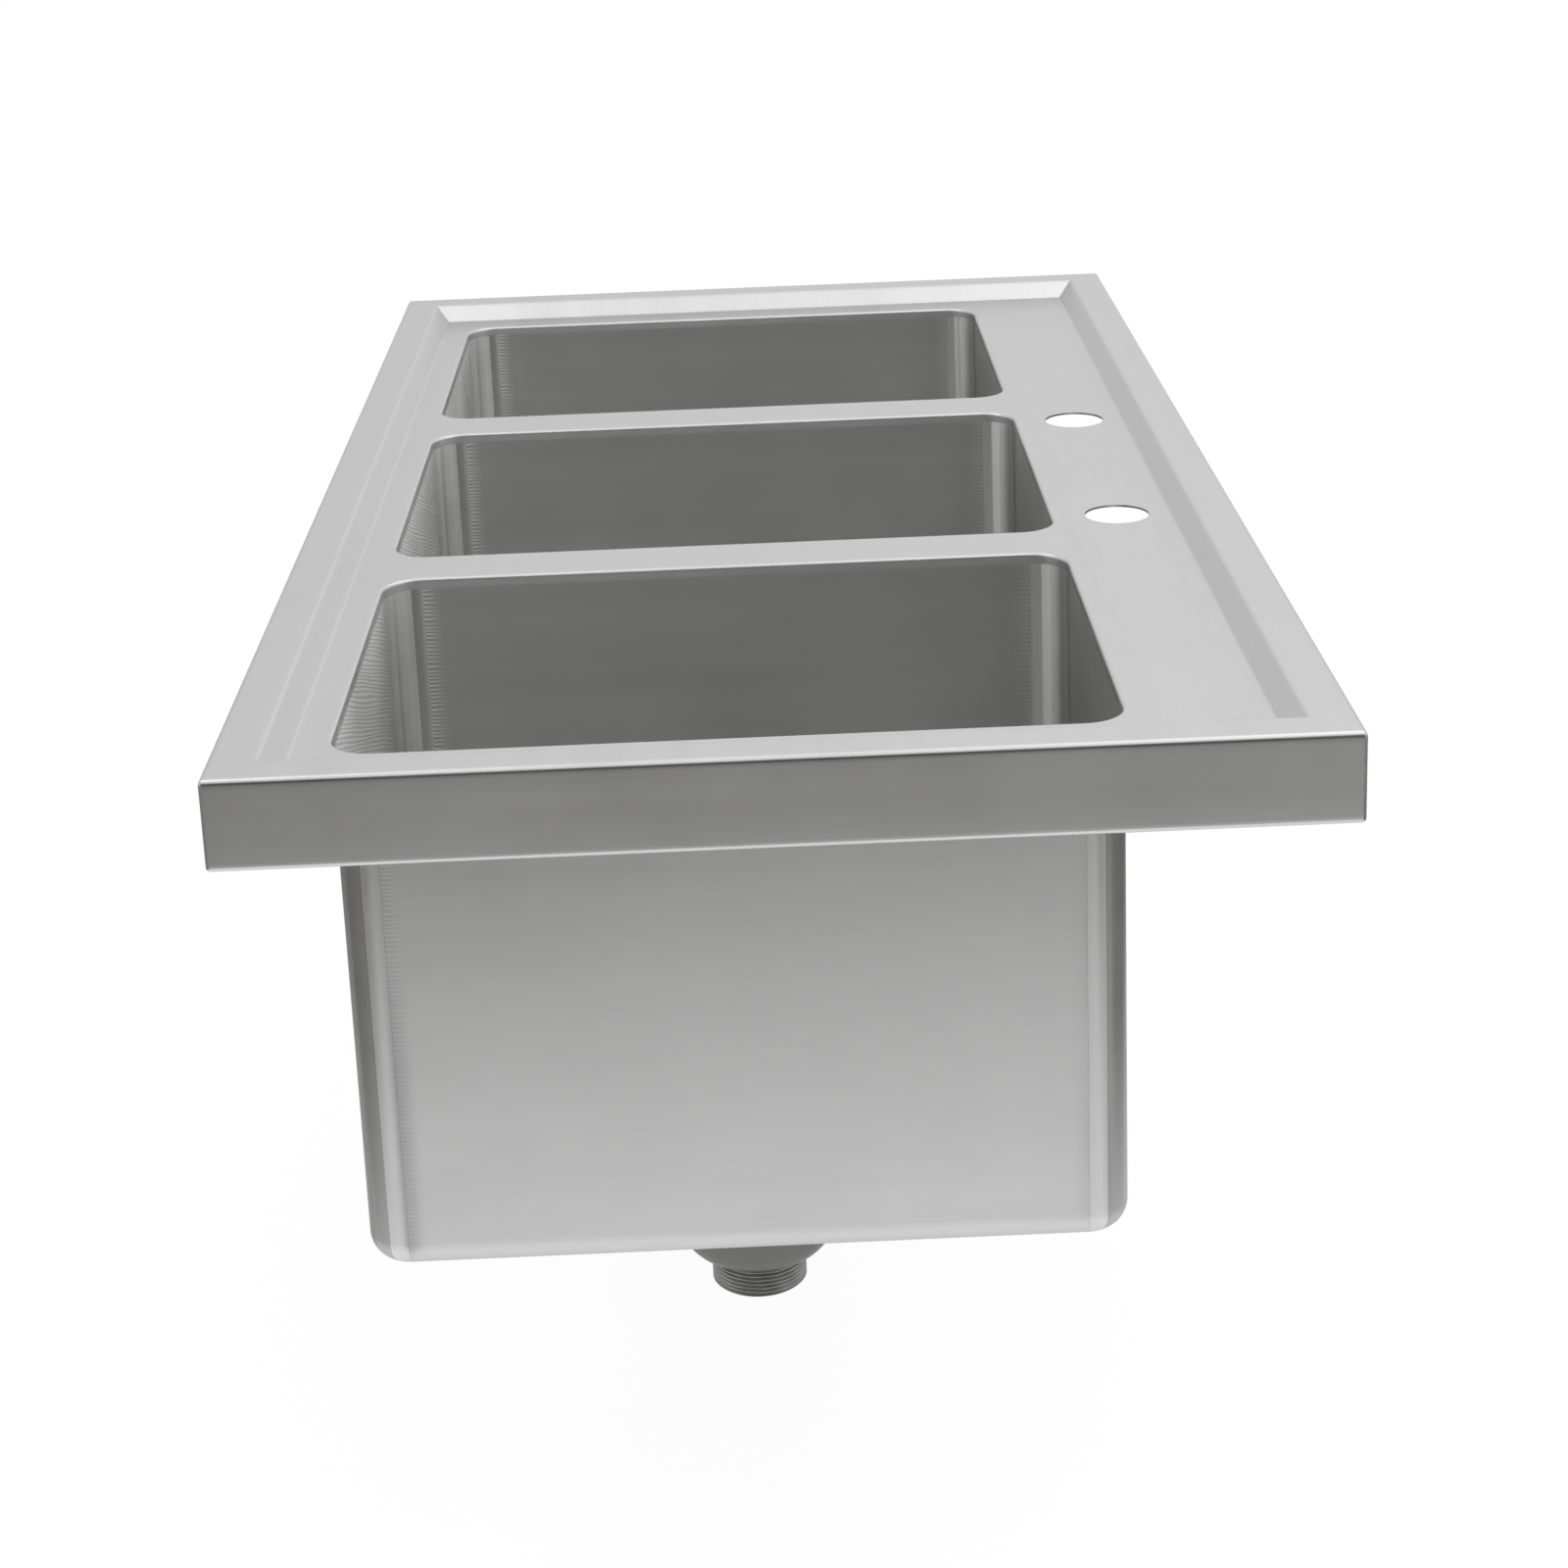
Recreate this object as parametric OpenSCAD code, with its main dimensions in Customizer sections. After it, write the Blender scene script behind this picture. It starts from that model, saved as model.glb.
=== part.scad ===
// Three-compartment sink top in folded and welded sheet: a deck with a raised rim all round,
// three coved bowls in a row, and a basket strainer drain in the floor of each bowl.
// X runs along the row of bowls, +Y towards the faucet ledge at the back, +Z up.
// The origin is the middle of the deck on the plane of the folded edge that rests on a counter.

/* [Deck] */
// Overall length of the deck
deck_length = 950; // [945:1:1000]
// Overall depth of the deck, front to back
deck_width = 500; // [495:1:540]
// Height of the apron, from the resting edge to the top of the rim
apron_height = 42.5; // [36:0.1:60]
// Width of the flat top of the raised rim
rim_flat = 22; // [16:0.5:23]
// Horizontal run of the slope inside the rim
slope_run = 9; // [6:0.5:11]
// Drop from the rim down to the deck
deck_drop = 10.4; // [8:0.1:14]
// Width of the edge folded in under the apron
return_width = 14; // [10:0.5:20]
// Thickness of the sheet
sheet = 1.2; // [0.9:0.1:1.5]
// Outside radius of the folds at the top and bottom of the apron
fold_r = 2.5; // [2:0.1:4]
// Outside radius of the bends at the top and the foot of the slope
bend_r = 3; // [2:0.1:4]
// Radius of the ground upright corners of the apron
corner_r = 2; // [1:0.1:4]

/* [Bowls] */
// Inside length of one bowl, along the row
bowl_length = 254; // [240:0.5:255]
// Inside width of one bowl, front to back
bowl_width = 355.6; // [340:0.1:358]
// Depth of a bowl, from the deck to its floor
bowl_height = 258; // [200:1:300]
// Inside radius of the coved upright corners
cove_r = 19; // [16:0.5:25]
// Inside radius of the bends between the walls and the floor
floor_bend_r = 12.5; // [8:0.5:15]
// Distance between the centres of neighbouring bowls
bowl_pitch = 294; // [288:0.5:296]
// Distance from the middle of the deck forward to the line of bowl centres
bowl_forward = 24; // [20:0.5:25]
// Radius of the rolled edge where the deck turns down into a bowl
lip_r = 1.8; // [1.8:0.1:4]
// Depth of the rolled edge below the deck
lip_depth = 5.5; // [5:0.1:8]

/* [Faucet ledge] */
// Distance between the two faucet holes
faucet_centres = 203.2; // [101.6:0.1:203.2]
// Distance from the middle of the deck back to the faucet holes
faucet_back = 190; // [184:0.5:192]
// Radius of a faucet hole
faucet_r = 17.5; // [14:0.5:18]

/* [Drain] */
// Distance from the bowl centre back to the drain
drain_back = 3; // [0:0.5:10]
// Depth of the pressed recess round the drain
recess_drop = 4; // [3.5:0.5:6]
// Radius of the level seat in the recess
recess_seat_r = 58.5; // [58:0.5:62]
// Radius of the drain opening in the floor
floor_hole_r = 46; // [45:0.5:48]
// Radius of the strainer flange
flange_r = 57; // [54:0.5:57.5]
// Outside radius of the strainer cup
cup_r = 42.5; // [42:0.1:43]
// Depth of the strainer cup below the bowl floor
cup_depth = 70.5; // [68:0.1:90]
// Radius of the domed bottom of the strainer cup
dome_r = 26; // [25:0.5:26]
// Outside radius of the threaded outlet nipple
nipple_r = 24.13; // [23.8:0.01:24.2]
// Length of the nipple below the cup
nipple_length = 14; // [12:0.1:30]
// Radius of the water way through the nipple
outlet_r = 20; // [18:0.5:21]

/* [Basket] */
// Radius of the basket at its mouth
basket_top_r = 37; // [35:0.5:37]
// Radius of the basket at its floor
basket_floor_r = 27; // [24:0.5:28]
// Number of holes in one ring of the basket wall
wall_holes = 16; // [8:1:18]
// Number of holes in the ring in the basket floor
floor_holes = 10; // [6:1:12]
// Radius of the basket holes
hole_r = 2.5; // [1.5:0.1:2.5]
// Radius of the lifting knob
knob_r = 9; // [7:0.5:10]

/* [Hidden] */
$fn = 48;
SIDES = ["left", "centre", "right"];
BOWL_PIECES = ["bowl_wrap", "bowl_front_panel", "bowl_back_panel"];
DRAIN_PIECES = ["drain_body", "flange_gasket", "rubber_washer", "friction_ring", "locknut"];
BASKET_PIECES = ["strainer_basket", "basket_post", "rubber_stopper"];
SIDE_PIECES = concat(BOWL_PIECES, DRAIN_PIECES, BASKET_PIECES);

STEEL = [0.78, 0.78, 0.77];
POLISHED = [0.68, 0.69, 0.70];
DARK_STEEL = [0.45, 0.45, 0.44];
RUBBER = [0.10, 0.10, 0.10];
FIBRE = [0.62, 0.50, 0.36];

// Room that cutting shapes run past a face
past = 5;
// Gap left between two folded-in edges at a corner
notch_gap = 2;
deck_z = apron_height - deck_drop;
floor_z = deck_z - bowl_height;
slope_angle = atan2(deck_drop, slope_run);
// Top of the bowl walls above the bowl floor, where they are welded to the rolled edge
wall_top = bowl_height - lip_depth;

// Heights of the drain stack, measured from the bowl floor
seat_z = -recess_drop;
gasket_t = 1.5;
flange_t = 1.5;
flange_under = seat_z + gasket_t;
flange_top = flange_under + flange_t;
under_floor = seat_z - sheet;
washer_t = 3;
ring_t = 1;
nut_t = 10;
washer_under = under_floor - washer_t;
ring_under = washer_under - ring_t;
recess_slope = recess_drop;
recess_r = recess_seat_r + recess_slope;

// Strainer cup
cup_wall = 1.5;
cup_inner_r = cup_r - cup_wall;
dome_centre_r = cup_r - dome_r;
dome_centre_z = -cup_depth + dome_r;
nipple_end = -cup_depth - nipple_length;
nipple_chamfer = 0.8;
thread_gap = 0.4;
washer_r = 54;
nut_r = 54;
nut_lug_r = 59;
nut_lugs = 8;
nut_lug_w = 10;

// Basket, post and stopper
basket_wall = 0.8;
basket_lip_r = 1.6;
post_r = 3;
post_gap = 0.1;
hub_r = 6;
hub_t = 5;
stopper_t = 8.9;
stopper_seat_r = 21;
stopper_r = 29.5;
seat_gap = 2.3;
stopper_under = seat_gap - cup_depth;
stopper_top = stopper_under + stopper_t;
basket_floor = stopper_top + hub_t;
basket_top = -16;
button_t = 1.2;
knob_under = -9;
knob_crown = 12;
knob_top = -1;
hole_rings = 3;
hole_ring_top = -28;
hole_ring_step = 10;
floor_hole_ring_r = 17;

function bowl_x(i) = (i - 1) * bowl_pitch;

// Rectangle with true round corners, centred
module rounded_rect(w, h, r) {
    square([w - 2 * r, h], center = true);
    square([w, h - 2 * r], center = true);
    for (x = [-1, 1], y = [-1, 1])
        translate([x * (w / 2 - r), y * (h / 2 - r)])
            circle(r);
}

// Box on the plane z = 0 with its long edges rolled and its upright corners ground round
module folded_box(l, w, h, fold, corner) {
    intersection() {
        rotate([90, 0, 90])
            linear_extrude(l, center = true)
                translate([0, h / 2]) rounded_rect(w, h, fold);
        rotate([90, 0, 0])
            linear_extrude(w, center = true)
                translate([0, h / 2]) rounded_rect(l, h, fold);
        linear_extrude(h) rounded_rect(l, w, corner);
    }
}

// The sunk middle of the deck with its four sloped sides; skin moves every face outwards
module sunk_middle(skin) {
    low = deck_z - skin;
    rim = apron_height - skin;
    high = apron_height + past;
    slope_in = skin / sin(slope_angle) - rim_flat - slope_run;
    along = [cos(slope_angle), sin(slope_angle)];
    foot_r = bend_r - sheet + skin;
    foot_run = foot_r * tan(slope_angle / 2);
    rim_r = bend_r - skin;
    rim_run = rim_r * tan(slope_angle / 2);
    function slope_x(full, z) = full / 2 + slope_in + (z - deck_z) * slope_run / deck_drop;
    module section(full) {
        foot = [slope_x(full, low), low];
        edge = [slope_x(full, rim), rim];
        difference() {
            union() {
                for (side = [0, 1])
                    mirror([side, 0]) {
                        polygon([[0, low], foot - [foot_run, 0], foot + foot_run * along,
                                 edge - rim_run * along, edge + [rim_run, 0],
                                 [edge.x + rim_run, high], [0, high]]);
                        translate(foot + [-foot_run, foot_r]) circle(foot_r);
                    }
            }
            for (side = [0, 1])
                mirror([side, 0]) translate(edge + [rim_run, -rim_r]) circle(rim_r);
        }
    }
    intersection() {
        rotate([90, 0, 0]) linear_extrude(2 * deck_width, center = true) section(deck_length);
        rotate([90, 0, 90]) linear_extrude(2 * deck_length, center = true) section(deck_width);
    }
}

// Space inside the folded sheet
module under_deck() {
    difference() {
        translate([0, 0, sheet])
            folded_box(deck_length - 2 * sheet, deck_width - 2 * sheet, apron_height - 2 * sheet,
                       fold_r - sheet, max(corner_r - sheet, 0.3));
        sunk_middle(sheet);
    }
}

// The open middle between the folded-in edges, and the notches that keep two of them apart at a corner
module return_cut() {
    l = deck_length - 2 * return_width;
    w = deck_width - 2 * return_width;
    depth = sheet + 2 * past;
    notch = return_width + notch_gap - fold_r;
    cube([l, w, depth], center = true);
    for (x = [-1, 1], y = [-1, 1])
        translate([x * (deck_length / 2 - fold_r - notch / 2), y * (deck_width / 2 - fold_r - notch / 2), 0])
            cube([notch, notch, depth / 2], center = true);
}

// Section of the rolled edge: a quarter bend and a short leg, from the bowl wall outwards
module lip_section() {
    difference() {
        translate([0, -lip_depth]) square([lip_r, lip_depth]);
        difference() {
            translate([0, -lip_r]) square(lip_r);
            translate([lip_r, -lip_r]) circle(lip_r);
        }
        translate([lip_r, -lip_r]) circle(lip_r - sheet);
        translate([sheet, -lip_depth - past]) square([lip_r, lip_depth + past - lip_r]);
    }
}

// Rolled edge round one bowl opening, on the deck plane
module rolled_edge() {
    straight_x = bowl_length - 2 * cove_r;
    straight_y = bowl_width - 2 * cove_r;
    for (turn = [0, 180]) {
        rotate([0, 0, turn]) {
            translate([bowl_length / 2, 0, 0])
                rotate([90, 0, 0]) linear_extrude(straight_y, center = true) lip_section();
            translate([0, bowl_width / 2, 0])
                rotate([90, 0, 90]) linear_extrude(straight_x, center = true) lip_section();
        }
    }
    for (turn = [0, 1], flip = [0, 1])
        mirror([turn, 0, 0]) mirror([0, flip, 0])
            translate([bowl_length / 2 - cove_r, bowl_width / 2 - cove_r, 0])
                rotate_extrude(angle = 90) translate([cove_r, 0]) lip_section();
}

module deck() {
    color(STEEL) {
        difference() {
            folded_box(deck_length, deck_width, apron_height, fold_r, corner_r);
            sunk_middle(0);
            under_deck();
            return_cut();
            for (i = [0 : 2])
                translate([bowl_x(i), -bowl_forward, deck_z - past])
                    linear_extrude(2 * past)
                        rounded_rect(bowl_length + 2 * lip_r, bowl_width + 2 * lip_r, cove_r + lip_r);
            for (x = [-1, 1])
                translate([x * faucet_centres / 2, faucet_back, deck_z - past])
                    cylinder(r = faucet_r, h = 2 * past);
        }
        for (i = [0 : 2])
            translate([bowl_x(i), -bowl_forward, deck_z])
                rolled_edge();
    }
}

// Outline of a bowl's long section, wide open at the top
module bowl_section(half, r, low, top) {
    translate([-half, low + r]) square([2 * half, top - low - r]);
    translate([-half + r, low]) square([2 * (half - r), r]);
    for (side = [-1, 1])
        translate([side * (half - r), low + r]) circle(r);
}

// Pressed recess in the floor with the drain opening in its middle
module drain_recess() {
    rotate_extrude()
        polygon([[floor_hole_r, seat_z], [recess_seat_r, seat_z], [recess_r, 0],
                 [recess_r, -sheet], [recess_seat_r, seat_z - sheet], [floor_hole_r, seat_z - sheet]]);
}

// End wall, floor and end wall of a bowl, bent from one strip
module bowl_wrap() {
    color(STEEL) {
        difference() {
            rotate([90, 0, 0])
                linear_extrude(bowl_width - 2 * cove_r, center = true)
                    difference() {
                        bowl_section(bowl_length / 2 + sheet, floor_bend_r + sheet, -sheet, wall_top);
                        bowl_section(bowl_length / 2, floor_bend_r, 0, wall_top + past);
                    }
            translate([0, drain_back, -past]) cylinder(r = recess_r, h = 2 * past);
        }
        translate([0, drain_back, 0]) drain_recess();
    }
}

// Section of a bowl side from the axis of an upright corner: floor strip, bend and wall
module side_section() {
    strip = cove_r - floor_bend_r;
    outer_r = floor_bend_r + sheet;
    translate([0, -sheet]) square([strip, sheet]);
    translate([strip, floor_bend_r])
        intersection() {
            difference() {
                circle(outer_r);
                circle(floor_bend_r);
            }
            translate([0, -outer_r]) square(outer_r);
        }
    translate([cove_r, floor_bend_r]) square([sheet, wall_top - floor_bend_r]);
}

// Side of a bowl: a flat sheet bent in at its foot, with the same section swept round both coved corners
module bowl_side() {
    flat_x = bowl_length - 2 * cove_r;
    translate([0, cove_r - bowl_width / 2, 0]) {
        rotate([90, 0, -90]) linear_extrude(flat_x, center = true) side_section();
        for (flip = [0, 1])
            mirror([flip, 0, 0])
                translate([flat_x / 2, 0, 0])
                    rotate([0, 0, -90]) rotate_extrude(angle = 90) side_section();
    }
}

module bowl_front_panel() {
    color(STEEL) bowl_side();
}

module bowl_back_panel() {
    color(STEEL) mirror([0, 1, 0]) bowl_side();
}

// Solid of the strainer cup down to its domed bottom, as a half section
module cup_section(r, dome, top) {
    translate([0, dome_centre_z]) square([r, top - dome_centre_z]);
    translate([0, dome_centre_z - dome]) square([dome_centre_r, dome]);
    translate([dome_centre_r, dome_centre_z]) circle(dome);
}

// Solid of the outlet nipple with a chamfered end, reaching up into the dome
module nipple_section() {
    rise = nipple_length + dome_r / 2;
    translate([0, nipple_end])
        polygon([[0, 0], [nipple_r - nipple_chamfer, 0], [nipple_r, nipple_chamfer],
                 [nipple_r, rise], [0, rise]]);
}

module drain_body() {
    color(DARK_STEEL)
        rotate_extrude()
            difference() {
                intersection() {
                    union() {
                        cup_section(cup_r, dome_r, flange_top);
                        translate([0, flange_under]) square([flange_r - flange_t / 2, flange_t]);
                        translate([flange_r - flange_t / 2, flange_under + flange_t / 2])
                            circle(flange_t / 2);
                        nipple_section();
                    }
                    translate([0, nipple_end]) square([flange_r, flange_top - nipple_end]);
                }
                intersection() {
                    cup_section(cup_inner_r, dome_r - cup_wall, flange_top + past);
                    translate([0, -cup_depth]) square([cup_r, cup_depth + past]);
                }
                translate([0, nipple_end - past]) square([outlet_r, nipple_length + dome_r]);
                difference() {
                    translate([cup_inner_r - past, flange_under]) square([past + flange_t, flange_t + past]);
                    translate([cup_inner_r + flange_t, flange_under]) circle(flange_t);
                }
            }
}

// Flat ring with its lower face at z
module ring(inner, outer, z, thick) {
    rotate_extrude() translate([inner, z]) square([outer - inner, thick]);
}

module flange_gasket() {
    color(RUBBER) ring(floor_hole_r, flange_r - flange_t, seat_z, gasket_t);
}

module rubber_washer() {
    color(RUBBER) ring(cup_r + thread_gap, washer_r, washer_under, washer_t);
}

module friction_ring() {
    color(FIBRE) ring(cup_r + thread_gap, washer_r, ring_under, ring_t);
}

module locknut() {
    color(POLISHED)
        translate([0, 0, ring_under - nut_t])
            linear_extrude(nut_t)
                difference() {
                    union() {
                        circle(nut_r);
                        for (k = [0 : nut_lugs - 1])
                            rotate(k * 360 / nut_lugs)
                                translate([0, -nut_lug_w / 2]) square([nut_lug_r, nut_lug_w]);
                    }
                    circle(cup_r + thread_gap);
                }
}

// Tapered cup with a rolled lip, drilled in rings round the wall and in the floor
module strainer_basket() {
    color(POLISHED)
        difference() {
            rotate_extrude() {
                polygon([[post_r + post_gap, basket_floor], [basket_floor_r, basket_floor],
                         [basket_top_r, basket_top], [basket_top_r - basket_wall, basket_top],
                         [basket_floor_r - basket_wall, basket_floor + basket_wall],
                         [post_r + post_gap, basket_floor + basket_wall]]);
                translate([basket_top_r + basket_lip_r / 2, basket_top]) circle(basket_lip_r);
            }
            for (ring = [0 : hole_rings - 1], k = [0 : wall_holes - 1])
                rotate([0, 0, (k + ring / 2) * 360 / wall_holes])
                    translate([basket_floor_r - past, 0, hole_ring_top - ring * hole_ring_step])
                        rotate([0, 90, 0]) cylinder(r = hole_r, h = basket_top_r);
            for (k = [0 : floor_holes - 1])
                rotate([0, 0, k * 360 / floor_holes])
                    translate([floor_hole_ring_r, 0, basket_floor - past]) cylinder(r = hole_r, h = 2 * past);
        }
}

// Lifting post with a domed knob, a hub under the basket and a button under the stopper
module basket_post() {
    color(POLISHED)
        rotate_extrude() {
            translate([0, stopper_under]) square([post_r, knob_under - stopper_under]);
            translate([0, stopper_top]) square([hub_r, basket_floor - stopper_top]);
            translate([0, stopper_under - button_t]) square([hub_r, button_t]);
            intersection() {
                translate([0, knob_top - knob_crown]) circle(knob_crown);
                translate([0, knob_under]) square([knob_r, knob_top - knob_under]);
            }
        }
}

// Rubber disc with a tapered rim that seats in the bottom of the strainer cup
module rubber_stopper() {
    rim_z = (stopper_top + stopper_under) / 2 + sheet;
    seat_rise = 3;
    rim_taper = 0.5;
    color(RUBBER)
        rotate_extrude()
            polygon([[post_r + post_gap, stopper_top], [stopper_r - past, stopper_top], [stopper_r, rim_z],
                     [stopper_r - rim_taper, stopper_under + seat_rise], [stopper_seat_r, stopper_under],
                     [post_r + post_gap, stopper_under]]);
}

// Each piece of a bowl by name, about the middle of the bowl floor
module side_piece(piece) {
    if (piece == "bowl_wrap") bowl_wrap();
    if (piece == "bowl_front_panel") bowl_front_panel();
    if (piece == "bowl_back_panel") bowl_back_panel();
    translate([0, drain_back, 0]) {
        if (piece == "drain_body") drain_body();
        if (piece == "flange_gasket") flange_gasket();
        if (piece == "rubber_washer") rubber_washer();
        if (piece == "friction_ring") friction_ring();
        if (piece == "locknut") locknut();
        if (piece == "strainer_basket") strainer_basket();
        if (piece == "basket_post") basket_post();
        if (piece == "rubber_stopper") rubber_stopper();
    }
}

deck();
for (i = [0 : 2])
    translate([bowl_x(i), -bowl_forward, floor_z])
        for (piece = SIDE_PIECES)
            side_piece(piece);
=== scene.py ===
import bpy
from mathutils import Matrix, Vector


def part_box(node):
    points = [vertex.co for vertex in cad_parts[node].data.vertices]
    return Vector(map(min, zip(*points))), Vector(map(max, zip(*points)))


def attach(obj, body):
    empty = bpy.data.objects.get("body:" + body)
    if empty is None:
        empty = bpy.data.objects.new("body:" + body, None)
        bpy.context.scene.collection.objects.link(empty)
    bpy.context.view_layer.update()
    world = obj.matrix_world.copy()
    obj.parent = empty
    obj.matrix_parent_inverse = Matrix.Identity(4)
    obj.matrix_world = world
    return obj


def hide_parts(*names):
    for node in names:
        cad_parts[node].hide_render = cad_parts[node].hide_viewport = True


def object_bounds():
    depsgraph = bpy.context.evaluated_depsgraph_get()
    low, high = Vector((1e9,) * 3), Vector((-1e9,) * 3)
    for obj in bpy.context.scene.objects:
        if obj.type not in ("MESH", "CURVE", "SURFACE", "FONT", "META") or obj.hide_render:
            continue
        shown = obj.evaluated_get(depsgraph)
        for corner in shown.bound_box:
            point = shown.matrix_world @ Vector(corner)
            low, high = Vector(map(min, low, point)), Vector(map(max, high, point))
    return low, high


bl_info = {
    "name": "Three-compartment sink",
    "version": (1, 0, 0),
    "blender": (4, 5, 0),
    "location": "View3D > Sidebar > Sink",
    "description": "Builds the finished sheet, drains and baskets of a three-compartment sink on its frame",
    "category": "Add Mesh",
}

import math

import bmesh
import bpy
import numpy as np
from mathutils import Matrix, Vector
from mathutils.geometry import delaunay_2d_cdt

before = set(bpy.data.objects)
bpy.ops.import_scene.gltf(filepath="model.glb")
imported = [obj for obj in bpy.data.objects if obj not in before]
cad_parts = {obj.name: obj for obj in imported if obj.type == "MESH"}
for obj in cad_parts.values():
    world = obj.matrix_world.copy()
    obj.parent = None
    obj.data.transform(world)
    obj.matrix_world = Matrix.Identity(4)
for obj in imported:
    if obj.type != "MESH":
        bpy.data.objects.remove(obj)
CAD_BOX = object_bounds()

MM = 0.001
SIDES = ("left", "centre", "right")
FIXED_BODY = "sink"
UP = Vector((0, 0, 1))

# Places and outer sizes that the frame gives
DECK_LOW, DECK_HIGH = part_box("deck")
WRAP_LOW, WRAP_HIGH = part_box("centre_bowl_wrap")
FRONT_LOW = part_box("centre_bowl_front_panel")[0]
BACK_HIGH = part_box("centre_bowl_back_panel")[1]
DRAIN_LOW, DRAIN_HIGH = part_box("centre_drain_body")
NUT_LOW, NUT_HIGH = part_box("centre_locknut")
BASKET_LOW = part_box("centre_strainer_basket")[0]
STOPPER_LOW, STOPPER_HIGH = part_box("centre_rubber_stopper")
SHEET = 1.2 * MM
NIPPLE_LENGTH = 14 * MM
FLOOR_Z = FRONT_LOW.z + SHEET
BOWL_Y = (FRONT_LOW.y + BACK_HIGH.y) / 2
DRAIN_Y = (DRAIN_LOW.y + DRAIN_HIGH.y) / 2

# How finely the meshes are divided
BEND_STEPS = 6
COVE_STEPS = 14
TURNS = 96
CORNER_STEPS = 8
FLAT_MARGIN = 1.5 * MM
MERGE = 0.001 * MM
CREASE = math.radians(38)
TINY = 1e-3

# Rings of holes in the wall of a basket
WALL_RINGS = 3

# Room left between a bore and what goes through it
SLIDE_FIT = 0.4 * MM
PUSH_FIT = 0.1 * MM

# The finish of the sheet: highlights lie across the brushing, and ripples lean over as they go round a cove
BRUSH_MAP = "brush"
ACROSS_BRUSH = 0.25
EDGE_TINT = (0.8, 0.8, 0.8, 1.0)
RIPPLE_SPACING = 2.2 * MM
RIPPLE_LEAN = 12.0
RIPPLE_DRAW = 0.12
WAVE_PERIOD = 0.314
THREAD_GLEAM = 1.2
BRIGHTEST = 2.0


def length(name, description, metres):
    """A property that holds a length."""
    return bpy.props.FloatProperty(
        name=name, description=description, default=metres, min=0.0, unit="LENGTH", precision=4
    )


def tint(name, description, colour):
    """A property that holds a colour."""
    return bpy.props.FloatVectorProperty(
        name=name, description=description, default=colour, size=3, min=0.0, max=1.0, subtype="COLOR"
    )


def amount(name, description, value):
    """A property that holds a plain number."""
    return bpy.props.FloatProperty(name=name, description=description, default=value)


class DeckSizes(bpy.types.PropertyGroup):
    """Sizes of the folded deck"""

    length: length("Length", "Overall length of the deck", DECK_HIGH.x - DECK_LOW.x)
    width: length("Width", "Overall depth of the deck, front to back", DECK_HIGH.y - DECK_LOW.y)
    height: length("Height", "Height of the apron", DECK_HIGH.z)
    rim_flat: length("Rim flat", "Width of the flat top of the rim", 22 * MM)
    slope_run: length("Slope run", "Horizontal run of the slope inside the rim", 9 * MM)
    drop: length("Drop", "Drop from the rim to the deck", 10.4 * MM)
    fold_radius: length("Fold radius", "Outside radius of the folds of the apron", 2.5 * MM)
    bend_radius: length("Bend radius", "Outside radius of the bends of the slope", 3 * MM)
    corner_radius: length("Corner radius", "Radius of the ground upright corners", 2 * MM)
    mitre_radius: length("Mitre radius", "Least radius where two rims meet", 0.5 * MM)
    return_width: length("Return width", "Width of the edge folded in under the apron", 14 * MM)
    notch: length("Notch", "Distance from a corner to the end of a folded-in edge", 16 * MM)
    lip_radius: length("Lip radius", "Radius of the rolled edge of a bowl opening", 1.8 * MM)
    lip_depth: length("Lip depth", "Depth of the rolled edge below the deck", 5.5 * MM)
    faucet_centres: length("Faucet centres", "Distance between the faucet holes", 203.2 * MM)
    faucet_back: length("Faucet back", "Distance from the middle to the faucet holes", 190 * MM)
    faucet_radius: length("Faucet radius", "Radius of a faucet hole", 17.5 * MM)


class BowlSizes(bpy.types.PropertyGroup):
    """Sizes of one bowl, measured inside"""

    length: length("Length", "Length along the row", WRAP_HIGH.x - WRAP_LOW.x - 2 * SHEET)
    width: length("Width", "Width from front to back", BACK_HIGH.y - FRONT_LOW.y - 2 * SHEET)
    wrap_width: length("Strip width", "Width of the bent strip", WRAP_HIGH.y - WRAP_LOW.y)
    wall: length("Wall", "Height of the walls above the floor", WRAP_HIGH.z - FLOOR_Z)
    floor_bend: length("Floor bend", "Radius of the bends between the walls and the floor", 12.5 * MM)
    recess_drop: length("Recess drop", "Depth of the pressed recess round the drain", 4 * MM)
    recess_radius: length("Recess radius", "Outer radius of the recess", 62.5 * MM)
    seat_radius: length("Seat radius", "Radius of the level seat in the recess", 58.5 * MM)
    press_radius: length("Press radius", "Radius of the two bends of the recess", 2 * MM)
    hole_radius: length("Hole radius", "Radius of the drain opening", 46 * MM)
    ground_band: length("Ground band", "Width of the ground strip beside a weld", 10 * MM)


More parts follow.
